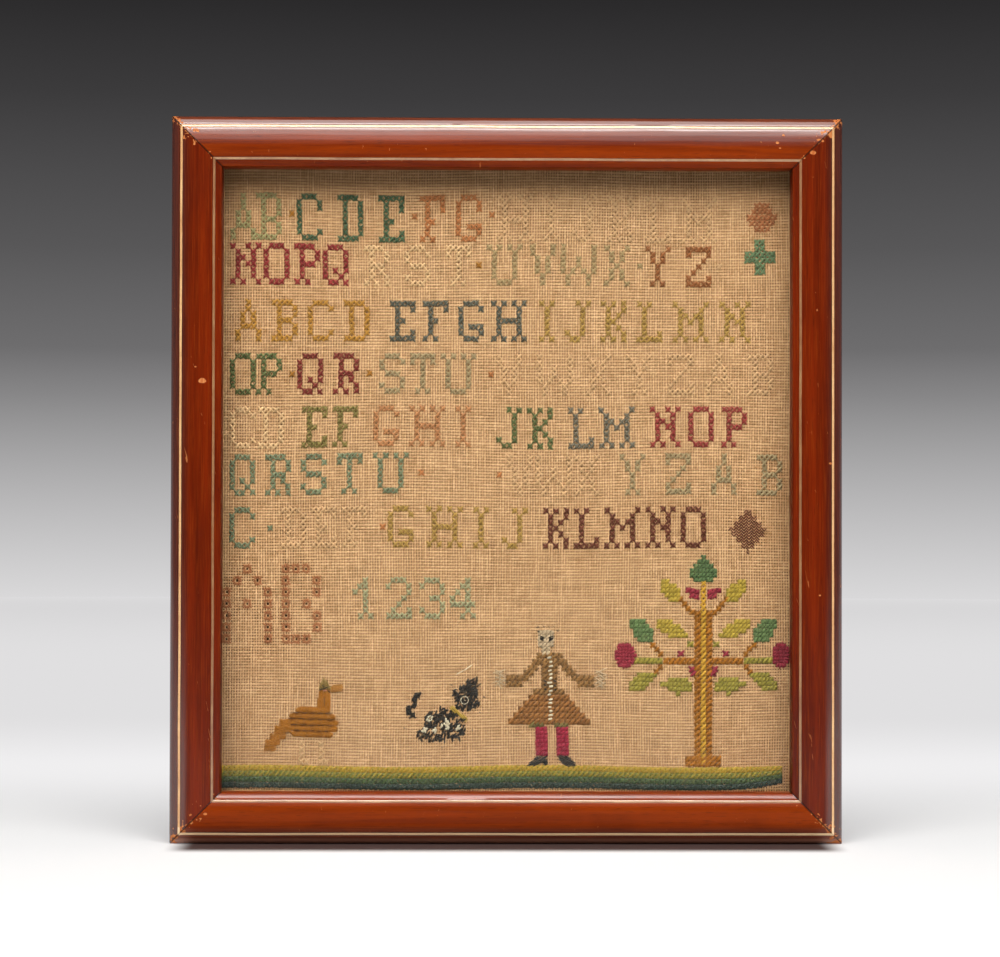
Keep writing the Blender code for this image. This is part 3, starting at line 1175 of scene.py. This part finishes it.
DYES = {
    "sage": dye(144, 136, 92),
    "deep green": dye(64, 88, 62),
    "green": dye(84, 94, 54),
    "grass": dye(120, 107, 56),
    "grey green": dye(156, 133, 93),
    "mid teal": dye(112, 120, 92),
    "terracotta": dye(170, 106, 60),
    "brown": dye(138, 82, 42),
    "cream": dye(206, 169, 125),
    "crimson": dye(134, 40, 40),
    "rose": dye(140, 52, 47),
    "plum": dye(118, 41, 34),
    "plum brown": dye(98, 48, 32),
    "mustard": dye(168, 119, 45),
    "ochre": dye(158, 104, 32),
    "yellow olive": dye(160, 126, 62),
    "slate": dye(83, 84, 74),
    "slate blue": dye(104, 98, 84),
    "teal grey": dye(152, 133, 98),
    "pale aqua": dye(147, 143, 108),
    "faded rose": dye(174, 118, 76),
    "black": dye(34, 30, 26),
    "white": dye(210, 198, 172),
    "yellow": dye(176, 144, 56),
    "faint": dye(195, 156, 114),
    "leaf green": dye(92, 112, 79),
    "russet": dye(158, 98, 60),
}

# Groups of letters: (row of letters, first column, last column, number of letters, dye)
LETTER_GROUPS = (
    (0, 2, 12, 2, "sage"),
    (0, 15, 36, 3, "deep green"),
    (0, 39, 51, 2, "terracotta"),
    (0, 54, 97, 6, "faint"),
    (1, 2, 25, 4, "crimson"),
    (1, 28, 49, 3, "cream"),
    (1, 52, 80, 4, "grey green"),
    (1, 83, 96, 2, "brown"),
    (2, 3, 29, 4, "mustard"),
    (2, 33, 60, 4, "slate"),
    (2, 62.5, 103.5, 6, "yellow olive"),
    (3, 2, 12, 2, "green"),
    (3, 15, 27, 2, "plum"),
    (3, 31, 50, 3, "teal grey"),
    (3, 54, 108, 7, "faint"),
    (4, 2, 12.7, 2, "cream"),
    (4, 16, 27, 2, "grass"),
    (4, 30, 49, 3, "faded rose"),
    (4, 54, 65, 2, "green"),
    (4, 68, 81, 2, "slate blue"),
    (4, 84, 103, 3, "rose"),
    (5, 2, 37, 5, "mid teal"),
    (5, 56, 74, 3, "faint"),
    (5, 78, 110, 4, "teal grey"),
    (6, 2, 8.4, 1, "mid teal"),
    (6, 12, 29, 3, "faint"),
    (6, 33, 60, 4, "yellow olive"),
    (6, 63, 95, 5, "plum brown"),
)
# Single crosses between the groups: (row of letters, column, dye)
STOPS = (
    (0, 13.7, "ochre"),
    (0, 37.3, "terracotta"),
    (0, 52.3, "terracotta"),
    (1, 49.8, "ochre"),
    (1, 81.4, "grey green"),
    (1, 97.0, "faint"),
    (3, 13.7, "ochre"),
    (3, 28.7, "ochre"),
    (3, 52.3, "terracotta"),
    (5, 38.9, "terracotta"),
    (5, 53.9, "terracotta"),
    (6, 9.6, "mid teal"),
    (6, 31.4, "terracotta"),
)


def block(left, top, right, bottom):
    """The outline of a level rectangle."""
    return [(left, top), (right, top), (right, bottom), (left, bottom)]


def marks(pattern):
    """How far along and down each mark of a pattern is."""
    for down, line in enumerate(pattern.split("|")):
        for along, mark in enumerate(line):
            if mark == "#":
                yield along, down


def work_figure(work, pattern, column, row, colour):
    """One letter or number in cross stitch, its top left cross at a place on the chart."""
    column = round(2 * column) / 2
    for along, down in marks(pattern):
        work.cross(column + along, row + down, colour)


def taller(pattern):
    """The same letter, eight crosses tall."""
    lines = pattern.split("|")
    return "|".join(lines[:2] + lines[1:])


def work_letters():
    """The rows of capitals, each row a piece of its own."""
    works = []
    letters = itertools.cycle(CAPITALS.values())
    for number, top in enumerate(LETTER_TOPS):
        work = Work(f"letters_row_{number + 1}")
        for row, first, last, count, dye_name in LETTER_GROUPS:
            if row != number:
                continue
            patterns = list(itertools.islice(letters, count))
            spare = last - first - sum(pattern.index("|") for pattern in patterns)
            column = first
            for pattern in patterns:
                figure = taller(pattern) if number == 0 else pattern
                work_figure(work, figure, column, top, DYES[dye_name])
                column += pattern.index("|") + spare / max(count - 1, 1)
        for row, column, dye_name in STOPS:
            if row == number:
                work.cross(round(2 * column) / 2, top + 3, DYES[dye_name])
        works.append(work)
    return works


def work_fillings():
    """The small fillings at the right-hand ends of the letter rows."""
    work = Work("row_end_fillings")
    for down, half in enumerate((1.5, 2.0, 3.0, 2.5, 1.5)):
        for along in range(round(2 * half)):
            work.cross(106.0 - half + along, 5.7 + down, DYES["russet"])
    for down in range(6):
        for along in range(-3, 3):
            if along in (-1, 0) or down in (2, 3):
                work.cross(105.5 + along, 12.0 + down, DYES["leaf green"], width=0.0009)
    for across in range(-7, 8):
        for down in range(-7, 8):
            if abs(across) + abs(down) < 8:
                column, row = 103.0 + across / 2, 61.5 + down / 2
                end = (column + 0.5, row + (-0.5 if across % 2 else 0.5))
                work.leg((column, row), end, DYES["plum brown"], 0.0005, 0.0003, 0.03)
    return work


def eyelet_places():
    """The hole of every eyelet in the two large capitals, on the chart."""
    return [
        (column + along * 2, 68 + down * 2)
        for letter, column in (("A", 1.5), ("B", 13.0))
        for along, down in marks(EYELET_CAPITALS[letter])
    ]


def eyelet_points():
    """The holes as loose points, for the threads of the linen to part round."""
    points = bpy.data.meshes.new("eyelet_points")
    spots = [chart_place(*place) for place in eyelet_places()]
    points.from_pydata([(across, 0.0, up) for across, up in spots], [], [])
    return bpy.data.objects.new("eyelet_points", points)


def work_eyelets():
    """Two large capitals in eyelet stitch, and numbers in cross stitch beside them."""
    work = Work("eyelet_letters")
    for place in eyelet_places():
        work.eyelet(place, DYES["russet"])
    numbers = Work("numbers")
    column = 26.2
    for pattern in FIGURES.values():
        work_figure(numbers, pattern, column, 69.5, DYES["pale aqua"])
        column += 6.3
    return [work, numbers]


def work_bird():
    """A plump brown bird that looks to the right."""
    work = Work("bird")
    ochre = dye(146, 89, 8)
    shadow = dye(84, 48, 10)
    leg_thread = dye(190, 153, 110)
    upright = math.pi / 2
    ribs = (
        (14.9, 21.5, 91.5),
        (13.7, 22.7, 92.5),
        (12.8, 23.3, 93.5),
        (13.1, 23.2, 94.5),
        (14.1, 22.3, 95.5),
    )
    for left, right, row in ribs:
        rib = [(left + 0.9, row - 0.05), (right - 0.9, row - 0.05), (right - 0.1, row + 0.3)]
        rib += [(right, row + 0.7), (right - 0.5, row + 1.15), (left + 0.6, row + 1.15)]
        rib += [(left, row + 0.7), (left + 0.1, row + 0.3)]
        work.satin(rib, ochre, upright - 0.1, 0.2)
    for left, right, row in ribs[1:]:
        for step in range(5):
            near = left + 0.7 + (right - left - 1.4) * step / 5
            far = left + 0.6 + (right - left - 1.4) * (step + 1) / 5
            work.leg((near, row + 0.05), (far, row), shadow, 0.00034, 0.0008, 0.04)
    neck = [(19.3, 88.4), (21.6, 88.4), (21.7, 92.4), (19.1, 92.4)]
    work.satin(neck, ochre, upright, 0.25, 0.00066)
    work.leg((20.5, 89.4), (20.5, 91.6), shadow, 0.0003, 0.0006, 0.03)
    tail = ((11.5, 93.7, 3.0, 2.2), (10.6, 94.9, 2.8, 2.1), (9.7, 96.2, 2.5, 1.9))
    tail += ((8.8, 97.2, 2.6, 1.9),)
    for left, row, wide, tall in tail:
        feather = [(left + 0.3, row), (left + wide, row)]
        feather += [(left + wide - 0.2, row + tall), (left, row + tall)]
        work.satin(feather, ochre, 0.2, 0.24, 0.00066)
    beak = [(21.4, 87.9), (23.9, 87.5), (24.2, 88.0), (23.9, 88.8), (21.5, 88.9)]
    work.satin(beak, dye(156, 104, 42), 0.1, 0.24)
    head = [(19.4, 88.5), (19.6, 87.5), (20.3, 86.5), (21.0, 87.1), (21.8, 88.5)]
    work.satin(head, dye(122, 98, 48), upright, 0.25)
    lines = (((19.3, 88.7), (21.5, 87.9)), ((21.0, 88.6), (21.7, 89.0)), ((20.0, 87.6), (20.4, 88.1)))
    for start, end in lines:
        work.leg(start, end, DYES["black"], 0.0004, 0.0007, 0.02)
    work.leg((20.3, 88.6), (20.8, 88.7), dye(190, 132, 116), 0.0004, 0.0008, 0.02)
    for column in (15.7, 19.5):
        for row in (97.2, 98.2, 99.2, 100.2):
            work.cross(column, row, leg_thread)
        work.cross(column + 1.0, 100.2, leg_thread)
    return work


def work_dog():
    """A shaggy black and white dog that looks to the right, with a yellow collar."""
    work = Work("dog")
    black = DYES["black"]
    white = DYES["white"]
    back = [(40.3, 92.2), (42.0, 91.6), (45.4, 91.5), (47.9, 93.3), (48.4, 95.2), (47.0, 96.5)]
    back += [(44.2, 96.8), (41.2, 96.9), (39.4, 96.8), (38.2, 95.6), (39.9, 94.8), (40.2, 93.4)]
    work.shaggy(back, black, 0.9, 0.55, 1.0, 165, 0.00066)
    head = [(45.5, 89.6), (46.0, 88.3), (47.0, 87.5), (49.0, 87.3), (50.2, 88.4)]
    head += [(50.4, 90.2), (50.9, 91.2), (49.4, 91.8), (47.6, 91.9), (45.9, 91.2)]
    work.shaggy(head, black, 0.9, 0.6, 0.95, 125, 0.00064)
    tufts = [(47.6, 87.6), (48.6, 86.6), (50.2, 86.4), (51.0, 87.4), (50.4, 88.8), (49.0, 88.2)]
    work.shaggy(tufts, black, 0.9, 0.5, 1.1, 16)
    tail = ((39.4, 88.8), (37.9, 89.6), (38.2, 90.6), (37.5, 91.4), (36.5, 91.6), (37.3, 92.6))
    tail += ((38.2, 92.7),)
    for start, end in zip(tail, tail[1:]):
        work.leg(start, end, black, 0.0012, 0.0006, 0.04)
        middle = (Vector(start) + Vector(end)) / 2
        work.shaggy(rounded(middle, 0.5, 0.45), black, 1.0, 0.8, 0.8, 5)
    # White patches: (column, row, radius, number of stitches)
    for column, row, radius, count in (
        (40.9, 93.4, 0.50, 8),
        (44.1, 94.5, 0.95, 22),
        (40.0, 95.4, 0.46, 7),
        (42.0, 95.3, 0.42, 6),
        (46.4, 95.1, 0.44, 7),
    ):
        for _ in range(count):
            turn = work.chance.uniform(0, math.tau)
            reach = radius * work.chance.random() ** 0.5
            spot = (column + reach * math.cos(turn), row + reach * math.sin(turn))
            work.leg(spot, (spot[0] + 0.3, spot[1] - 0.45), white, 0.0007, 0.0009, 0.12)
    # The ring round the eye
    for spoke in range(9):
        angle = math.tau * spoke / 9
        middle = Vector((47.9 + 0.72 * math.cos(angle), 90.2 + 0.62 * math.sin(angle)))
        side = Vector((-math.sin(angle), math.cos(angle))) * 0.3
        work.leg(middle - side, middle + side, white, 0.00042, 0.0007, 0.02)
    work.leg((47.7, 90.1), (48.1, 90.3), white, 0.0004, 0.0007, 0.02)
    collar = [(44.9, 91.4), (45.5, 91.0), (48.6, 93.4), (48.2, 94.0)]
    work.satin(collar, DYES["yellow"], -0.75, 0.26, lift=0.0007)
    for column in (39.4, 41.0, 43.2, 45.4, 46.8):
        work.leg((column, 96.4), (column + 0.3, 97.2), black, 0.0008, 0.0005, 0.08)
    stray = ((45.2, 87.4), (51.6, 89.6), (50.8, 92.2), (43.4, 97.9), (36.0, 94.6), (49.3, 95.2))
    for column, row in stray:
        work.leg((column, row), (column + 0.3, row + 0.3), black, 0.0004, 0.0004, 0.05)
    work.leg((46.2, 85.9), (47.7, 85.2), white, 0.0003, 0.0006, 0.03)
    work.leg((47.7, 85.2), (49.4, 84.2), white, 0.0003, 0.0005, 0.03)
    return work


def work_man():
    """A little man in a full-skirted brown coat, with crimson stockings."""
    work = Work("man")
    coat = dye(134, 95, 49)
    hem = dye(142, 92, 42)
    pale = dye(184, 160, 128)
    black = DYES["black"]
    face = [(62.3, 78.6), (65.6, 78.6), (65.6, 80.6), (65.0, 81.6)]
    face += [(64.9, 82.6), (63.3, 82.6), (63.1, 81.6), (62.3, 80.6)]
    work.patch(face, pale, (0.75, 0.7), (62.4, 78.5), 0.0009)
    for column in (62.3, 63.3, 64.3, 65.3):
        work.leg((column, 77.7), (column + 0.3, 77.9), dye(70, 62, 40), 0.0004, 0.0004, 0.06)
    for middle, lean in ((63.1, 0.22), (64.9, -0.22)):
        for step in (-0.1, 0.15, 0.4):
            start = (middle - 0.5, 79.7 + step - lean)
            work.leg(start, (middle + 0.5, 79.7 + step + lean), black, 0.0006, 0.0009, 0.04)
    for column, row in ((62.0, 77.9), (62.2, 78.6), (66.0, 78.4)):
        work.leg((column, row), (column + 0.4, row + 0.2), black, 0.0005, 0.0007, 0.05)
    work.leg((63.5, 81.6), (64.7, 81.6), dye(136, 116, 84), 0.0003, 0.0007, 0.02)

    shoulders = [(62.1, 82.4), (67.2, 82.4), (67.6, 84.2), (61.6, 84.2)]
    work.patch(shoulders, coat, (1.0, 0.98), (0.2, 82.3))
    work.patch(block(63.1, 84.0, 66.2, 88.6), coat, (1.03, 0.96), (63.1, 84.0))
    for column, row in ((61.2, 83.4), (60.4, 84.4), (59.6, 85.2), (58.6, 86.1)):
        for left in (column, 129.4 - column - 1.9):
            work.patch(block(left, row, left + 1.9, row + 1), coat, (0.95, 1.0), (left, row))
    for left in (56.1, 70.2):
        work.patch(block(left, 86.1, left + 3.1, 88.1), coat, (1.03, 1.0), (left, 86.1))
    for left, right in ((53.6, 56.1), (73.4, 75.9)):
        for row in (85.4, 86.1, 86.8, 87.5):
            work.leg((left, row + 0.5), (right, row - 0.4), pale, 0.0004, 0.0003, 0.3)
            work.leg((left + 0.3, row - 0.3), (right - 0.3, row + 0.6), pale, 0.0004, 0.0004, 0.3)
            work.leg((left + 0.9, row - 0.2), (left + 1.5, row + 0.7), pale, 0.0004, 0.0005, 0.3)
    for down in range(6):
        half = 3 + down
        for along in range(2 * half):
            colour = hem if down else coat
            work.cross(64.5 - half + along, 88.5 + down, colour, width=0.0009, packed=True)
    for step in range(16):
        row = 83.2 + step * 0.7
        column = 64.3 + (0.12 if step % 3 else -0.1)
        end = (column + 0.85, row - 0.1)
        work.leg((column, row + 0.1), end, DYES["white"], 0.0009, 0.0010, 0.12)
    for row in (87.0, 87.7, 88.4):
        for column in (63.5, 65.4):
            work.leg((column, row), (column + 0.6, row + 0.3), black, 0.0006, 0.0010, 0.05)
    for left in (60.7, 65.5):
        knee = block(left, 94.1, left + 2.7, 95.1)
        work.patch(knee, dye(104, 90, 46), (0.9, 1.0), (left, 94.1))
    for left in (61.8, 65.9):
        stocking = [(left, 94.9), (left + 2.3, 94.9), (left + 2.2, 100.0), (left + 0.2, 100.0)]
        work.patch(stocking, dye(148, 24, 52), (0.77, 0.7), (left, 94.9), 0.0009)
    shoe = [(61.9, 100.0), (64.1, 99.7), (64.1, 101.5), (63.5, 101.5), (63.0, 100.9)]
    shoe += [(61.9, 101.5), (60.2, 101.9), (59.6, 101.6), (60.6, 100.9)]
    work.satin(shoe, black, 0.4, 0.26)
    shoe = [(66.1, 99.6), (68.1, 100.0), (69.6, 101.0), (69.9, 101.8), (68.3, 101.9)]
    shoe += [(67.0, 101.2), (66.2, 100.6)]
    work.satin(shoe, black, -0.4, 0.26)
    return work


def work_branches(work, side, brown, crimson):
    """Branches, leaves, flowers and fruit on the tree's left, side -1, or right, side 1."""
    leaf_yellow = dye(169, 144, 51)
    leaf_green = dye(145, 132, 49)
    blue_green = dye(94, 116, 69)

    def place(column, row):
        return TREE_MIDDLE + side * column, row

    def crosses(colour, size, *spots):
        for spot in spots:
            column, row = place(*spot)
            work.cross(column - size[0] / 2, row - size[1] / 2, colour, size, packed=True)

    def beam(near, far, top, colour, size, start):
        outline = block(place(near, 0)[0], top, place(far, 0)[0], 84.0)
        work.patch(outline, colour, size, place(*start))

    twigs = ((4.5, 73.1), (3.6, 73.9), (3.0, 74.7), (2.2, 75.3))
    twigs += ((8.2, 82.3), (8.9, 81.5), (9.8, 80.8), (8.3, 84.5), (9.1, 85.3))
    crosses(brown, (0.95, 0.9), *twigs)
    beam(1.7, 7.8, 82.8, brown, (1.0, 1.1), (1.65, 82.9))
    beam(7.9, 13.0, 82.9, leaf_green, (0.9, 1.0), (7.9, 82.95))
    for stem, tip, breadth, colour in (
        ((4.2, 73.4), (8.4, 70.2), 3.2, leaf_yellow),
        ((9.5, 80.4), (14.2, 76.2), 3.4, blue_green),
        ((3.2, 79.4), (9.2, 76.8), 2.7, leaf_yellow),
        ((9.2, 85.6), (14.4, 88.2), 2.6, leaf_green),
        ((1.9, 87.7), (8.0, 87.3), 2.9, leaf_green),
    ):
        work.patch(leaf_outline(place(*stem), place(*tip), breadth), colour, FINE_CROSS)
    crosses(leaf_green, (1.2, 0.9), (2.5, 80.6))
    flower = ((1.2, 71.9), (2.1, 71.7), (1.3, 72.7), (2.2, 72.5), (3.0, 71.6))
    crosses(crimson, (0.92, 0.85), *flower)
    crosses(crimson, (1.2, 0.95), (4.3, 82.2), (2.2, 84.8), (1.9, 85.5))
    wide, tall = (1.6 if side > 0 else 2.0), 2.15
    hub = Vector(place(15.1, 82.6))
    fruit = rounded(place(15.1, 82.6), wide, tall)
    work.patch(fruit, crimson, (0.6, 0.56), width=0.0008)
    for spoke in range(18):
        angle = math.tau * spoke / 18
        ray = Vector((wide * math.cos(angle), tall * math.sin(angle)))
        work.leg(hub + ray * 0.6, hub + ray * 1.08, crimson, 0.0007, 0.0006, 0.08)


def work_tree():
    """A tree with a stem like a candlestick, bearing paired leaves, flowers and red fruit."""
    work = Work("tree")
    brown = dye(154, 94, 9)
    yellow = dye(192, 145, 43)
    middle = TREE_MIDDLE
    spade = [(94.5, 65.4), (96.0, 67.0), (97.2, 68.5), (96.1, 70.0)]
    spade += [(92.9, 70.0), (91.8, 68.5), (93.0, 67.0)]
    work.patch(spade, dye(84, 107, 66), FINE_CROSS, (middle - 0.375, 65.7), 0.0008)
    for row in range(5):
        work.cross(middle - 0.5, 70.0 + row, yellow)
    for row in range(26):
        for left in (middle - 1.75, middle + 0.5):
            work.cross(left, 75.0 + row, brown, (1.25, 1.0), 0.00095, True)
        work.cross(middle - 0.5, 75.0 + row, yellow, width=0.00086, packed=True)
    foot = [(91.0, 99.5), (98.0, 99.5), (98.5, 101.2), (90.5, 101.2)]
    work.patch(foot, brown, (1.0, 0.85), (middle - 0.5, 99.5))
    for side in (-1, 1):
        work_branches(work, side, brown, dye(141, 36, 53))
    return work


def work_ground():
    """The grass along the foot, in four rows of cross stitch that shade into each other."""
    work = Work("ground_band")
    rows = (
        (dye(170, 134, 40), dye(156, 132, 40)),
        (dye(142, 123, 39), dye(102, 105, 42)),
        (dye(68, 85, 44), dye(54, 72, 47)),
        (dye(42, 59, 49), dye(36, 50, 46)),
    )
    for number, (upper, lower) in enumerate(rows):
        for column in range(GROUND_CROSSES):
            tall = 0.96 - 0.30 * (max(column - 97.0, 0.0) / 13.0) ** 2.5
            top = 101.4 + number * tall
            work.leg((column, top), (column + 1, top + tall), lower, 0.0014, 0.0003)
            work.leg((column, top + tall), (column + 1, top), upper, 0.0009, 0.0005)
    return work


def add_stitches(silk):
    """Every part that is worked on the linen."""
    leg_object = bpy.data.objects.new("stitch_leg", stitch_leg_mesh())
    group = stitch_tree(leg_object)
    works = [*work_letters(), work_fillings(), *work_eyelets(), work_bird(), work_dog()]
    works += [work_man(), work_tree(), work_ground()]
    pieces = [worked(work, group, silk) for work in works]
    bpy.data.node_groups.remove(group)
    bpy.data.objects.remove(leg_object)
    return pieces


# ---------------------------------------------------------------- stage

TABLE_REACH = 3.3
BACKDROP_RADIUS = 3.2
BACKDROP_HEIGHT = 3.0
BACKDROP_SIDES = 64

# How light the backdrop is at a height, out of 255
BACKDROP_SHADES = (
    (0.0, 217), (0.15, 182), (0.30, 135), (0.37, 110), (0.52, 88), (0.75, 60), (1.0, 24)
)

# The lights: name, azimuth, elevation, distance, width, height and power
WARM = (1.0, 0.985, 0.96)
SOFTBOXES = (
    ("top_fading", 0.0, 86.5, 1.3, 0.56, 0.46, 2.6),
    ("top_bright", 0.0, 69.0, 1.3, 0.56, 0.32, 4.2),
    ("middle", 0.0, 57.0, 1.3, 0.56, 0.17, 4.5),
    ("lower_bright", 0.0, 49.5, 1.3, 0.56, 0.15, 1.3),
    ("lower_fading", 0.0, 41.0, 1.3, 0.56, 0.22, 1.0),
    ("lowest", 0.0, 30.0, 1.3, 0.56, 0.27, 0.6),
    ("trace", 0.0, 19.5, 1.3, 0.56, 0.20, 0.14),
    ("left_box", -34.0, 34.0, 1.4, 0.7, 0.6, 7.4),
    ("right_box", 34.0, 34.0, 1.4, 0.7, 0.6, 7.4),
)


def table_finish():
    """The table top, with a painted shadow under the frame's front edge, and darker behind it."""
    floor = Finish("table_top")
    black = (0.0, 0.0, 0.0)
    across, deep, _ = floor.axes(floor.place)
    in_front = 1 - deep.between(-0.55, -0.29)
    # Painted shadow: a dark strip on the table just in front of and under the frame's foot, with no
    # glow there.
    painted_contact_shadow = deep.between(-0.0335, -0.0195) * (1 - deep.between(0.008, 0.024))
    painted_contact_shadow = painted_contact_shadow * (1 - across.absolute().between(0.108, 0.1185))
    distant = deep.between(-0.02, 0.35)
    tone = floor.layered(
        (0.74, 0.74, 0.74),
        (in_front, (0.22, 0.22, 0.23)),
        (painted_contact_shadow, (0.05, 0.025, 0.022)),
        (distant, black),
    )
    pale = floor.layered(
        dye(243, 242, 243),
        (deep.between(0.15, 0.65), dye(222, 221, 222)),
        (deep.between(1.2, 3.0), dye(209, 208, 209)),
    )
    glow = floor.layered(dye(126, 126, 128), (distant, pale), (painted_contact_shadow, black))
    floor.set(Base_Color=tone, Roughness=0.7, Emission_Color=glow, Emission_Strength=1.0)
    return floor.material


def backdrop_finish():
    """The backdrop, pale below and dark above, and dim all the way up in front."""
    wall = Finish("backdrop")
    _, deep, up = wall.axes(wall.place)
    stops = [(height, dye(level, level - 1, level)) for height, level in BACKDROP_SHADES]
    glow = wall.node("ShaderNodeValToRGB", {"stops": stops}, {"Fac": up})
    side = wall.mix(deep.between(-2.7, -1.2), dye(14, 14, 15), dye(104, 104, 106))
    glow = wall.mix(deep.between(0.0, 1.8), side, glow)
    wall.set(Base_Color=(0.0, 0.0, 0.0), Roughness=1.0, Emission_Color=glow, Emission_Strength=1.0)
    wall.set(Specular_IOR_Level=0.0)
    return wall.material


def add_staged(name, points, faces, material):
    """Put a mesh into the scene as a part of the stage."""
    mesh = bpy.data.meshes.new(name)
    mesh.from_pydata(points, [], faces)
    mesh.materials.append(material)
    staged = bpy.data.objects.new(name, mesh)
    bpy.context.scene.collection.objects.link(staged)
    return mesh


def add_stage():
    """A white table top that meets a round grey backdrop."""
    corners = [(*corner, 0) for corner in block(-TABLE_REACH, -TABLE_REACH, TABLE_REACH, TABLE_REACH)]
    add_staged("table_top", corners, [(0, 1, 2, 3)], table_finish())
    turns = range(BACKDROP_SIDES)
    angles = [math.tau * turn / BACKDROP_SIDES for turn in turns]
    rim = [(BACKDROP_RADIUS * math.cos(turn), BACKDROP_RADIUS * math.sin(turn)) for turn in angles]
    points = [(*place, height) for height in (0.0, BACKDROP_HEIGHT) for place in rim]
    pairs = [(turn, (turn + 1) % BACKDROP_SIDES) for turn in turns]
    sides = [(this, after, after + BACKDROP_SIDES, this + BACKDROP_SIDES) for this, after in pairs]
    add_staged("backdrop", points, sides, backdrop_finish()).shade_smooth()


def add_lights():
    """A soft overhead light that fades above and below its middle, and one on each side."""
    for name, azimuth, elevation, distance, wide, tall, power in SOFTBOXES:
        lamp = bpy.data.lights.new(name, "AREA")
        lamp.shape = "RECTANGLE"
        lamp.size = wide
        lamp.size_y = tall
        lamp.energy = power
        lamp.color = WARM
        box = bpy.data.objects.new(name, lamp)
        turn, rise = math.radians(azimuth), math.radians(elevation)
        level = math.cos(rise)
        away = Vector((math.sin(turn) * level, -math.cos(turn) * level, math.sin(rise)))
        box.location = Vector((0.0, 0.0, HEIGHT / 2)) + away * distance
        box.rotation_euler = (-away).to_track_quat("-Z", "Y").to_euler()
        bpy.context.scene.collection.objects.link(box)
    world = bpy.data.worlds.new("room")
    world.use_nodes = True
    sky = world.node_tree.nodes["Background"]
    sky.inputs["Color"].default_value = (0.8, 0.82, 0.85, 1.0)
    sky.inputs["Strength"].default_value = 0.04
    bpy.context.scene.world = world


def add_camera():
    """The camera stands a metre in front of the sampler, a little below its middle."""
    lens = bpy.data.cameras.new("camera")
    lens.lens = 100.0
    lens.sensor_width = 36.0
    lens.clip_start = 0.05
    lens.clip_end = 30.0
    camera = bpy.data.objects.new("camera", lens)
    camera.location = (-0.0161, -0.9763, 0.1123)
    camera.rotation_euler = [math.radians(angle) for angle in (90.896, -0.134, -0.808)]
    bpy.context.scene.collection.objects.link(camera)
    bpy.context.scene.camera = camera


# ---------------------------------------------------------------- the sampler


def main():
    add_camera()
    add_stage()
    add_lights()
    bpy.context.scene.view_settings.view_transform = "Standard"

    add_rails(mahogany_finish())
    add_stringing(boxwood_finish())
    for node, material in (("glass_pane", pane_finish()), ("backing_board", board_finish())):
        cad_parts[node].data.materials.clear()
        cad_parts[node].data.materials.append(material)

    sheet = add_hole_shade_sheet(hole_shade_finish())
    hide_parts("linen_ground")
    holes = eyelet_points()
    on_the_sheet = add_weave(thread_finish(), holes)
    bpy.data.objects.remove(holes)
    on_the_sheet += add_stitches(silk_finish())


main()
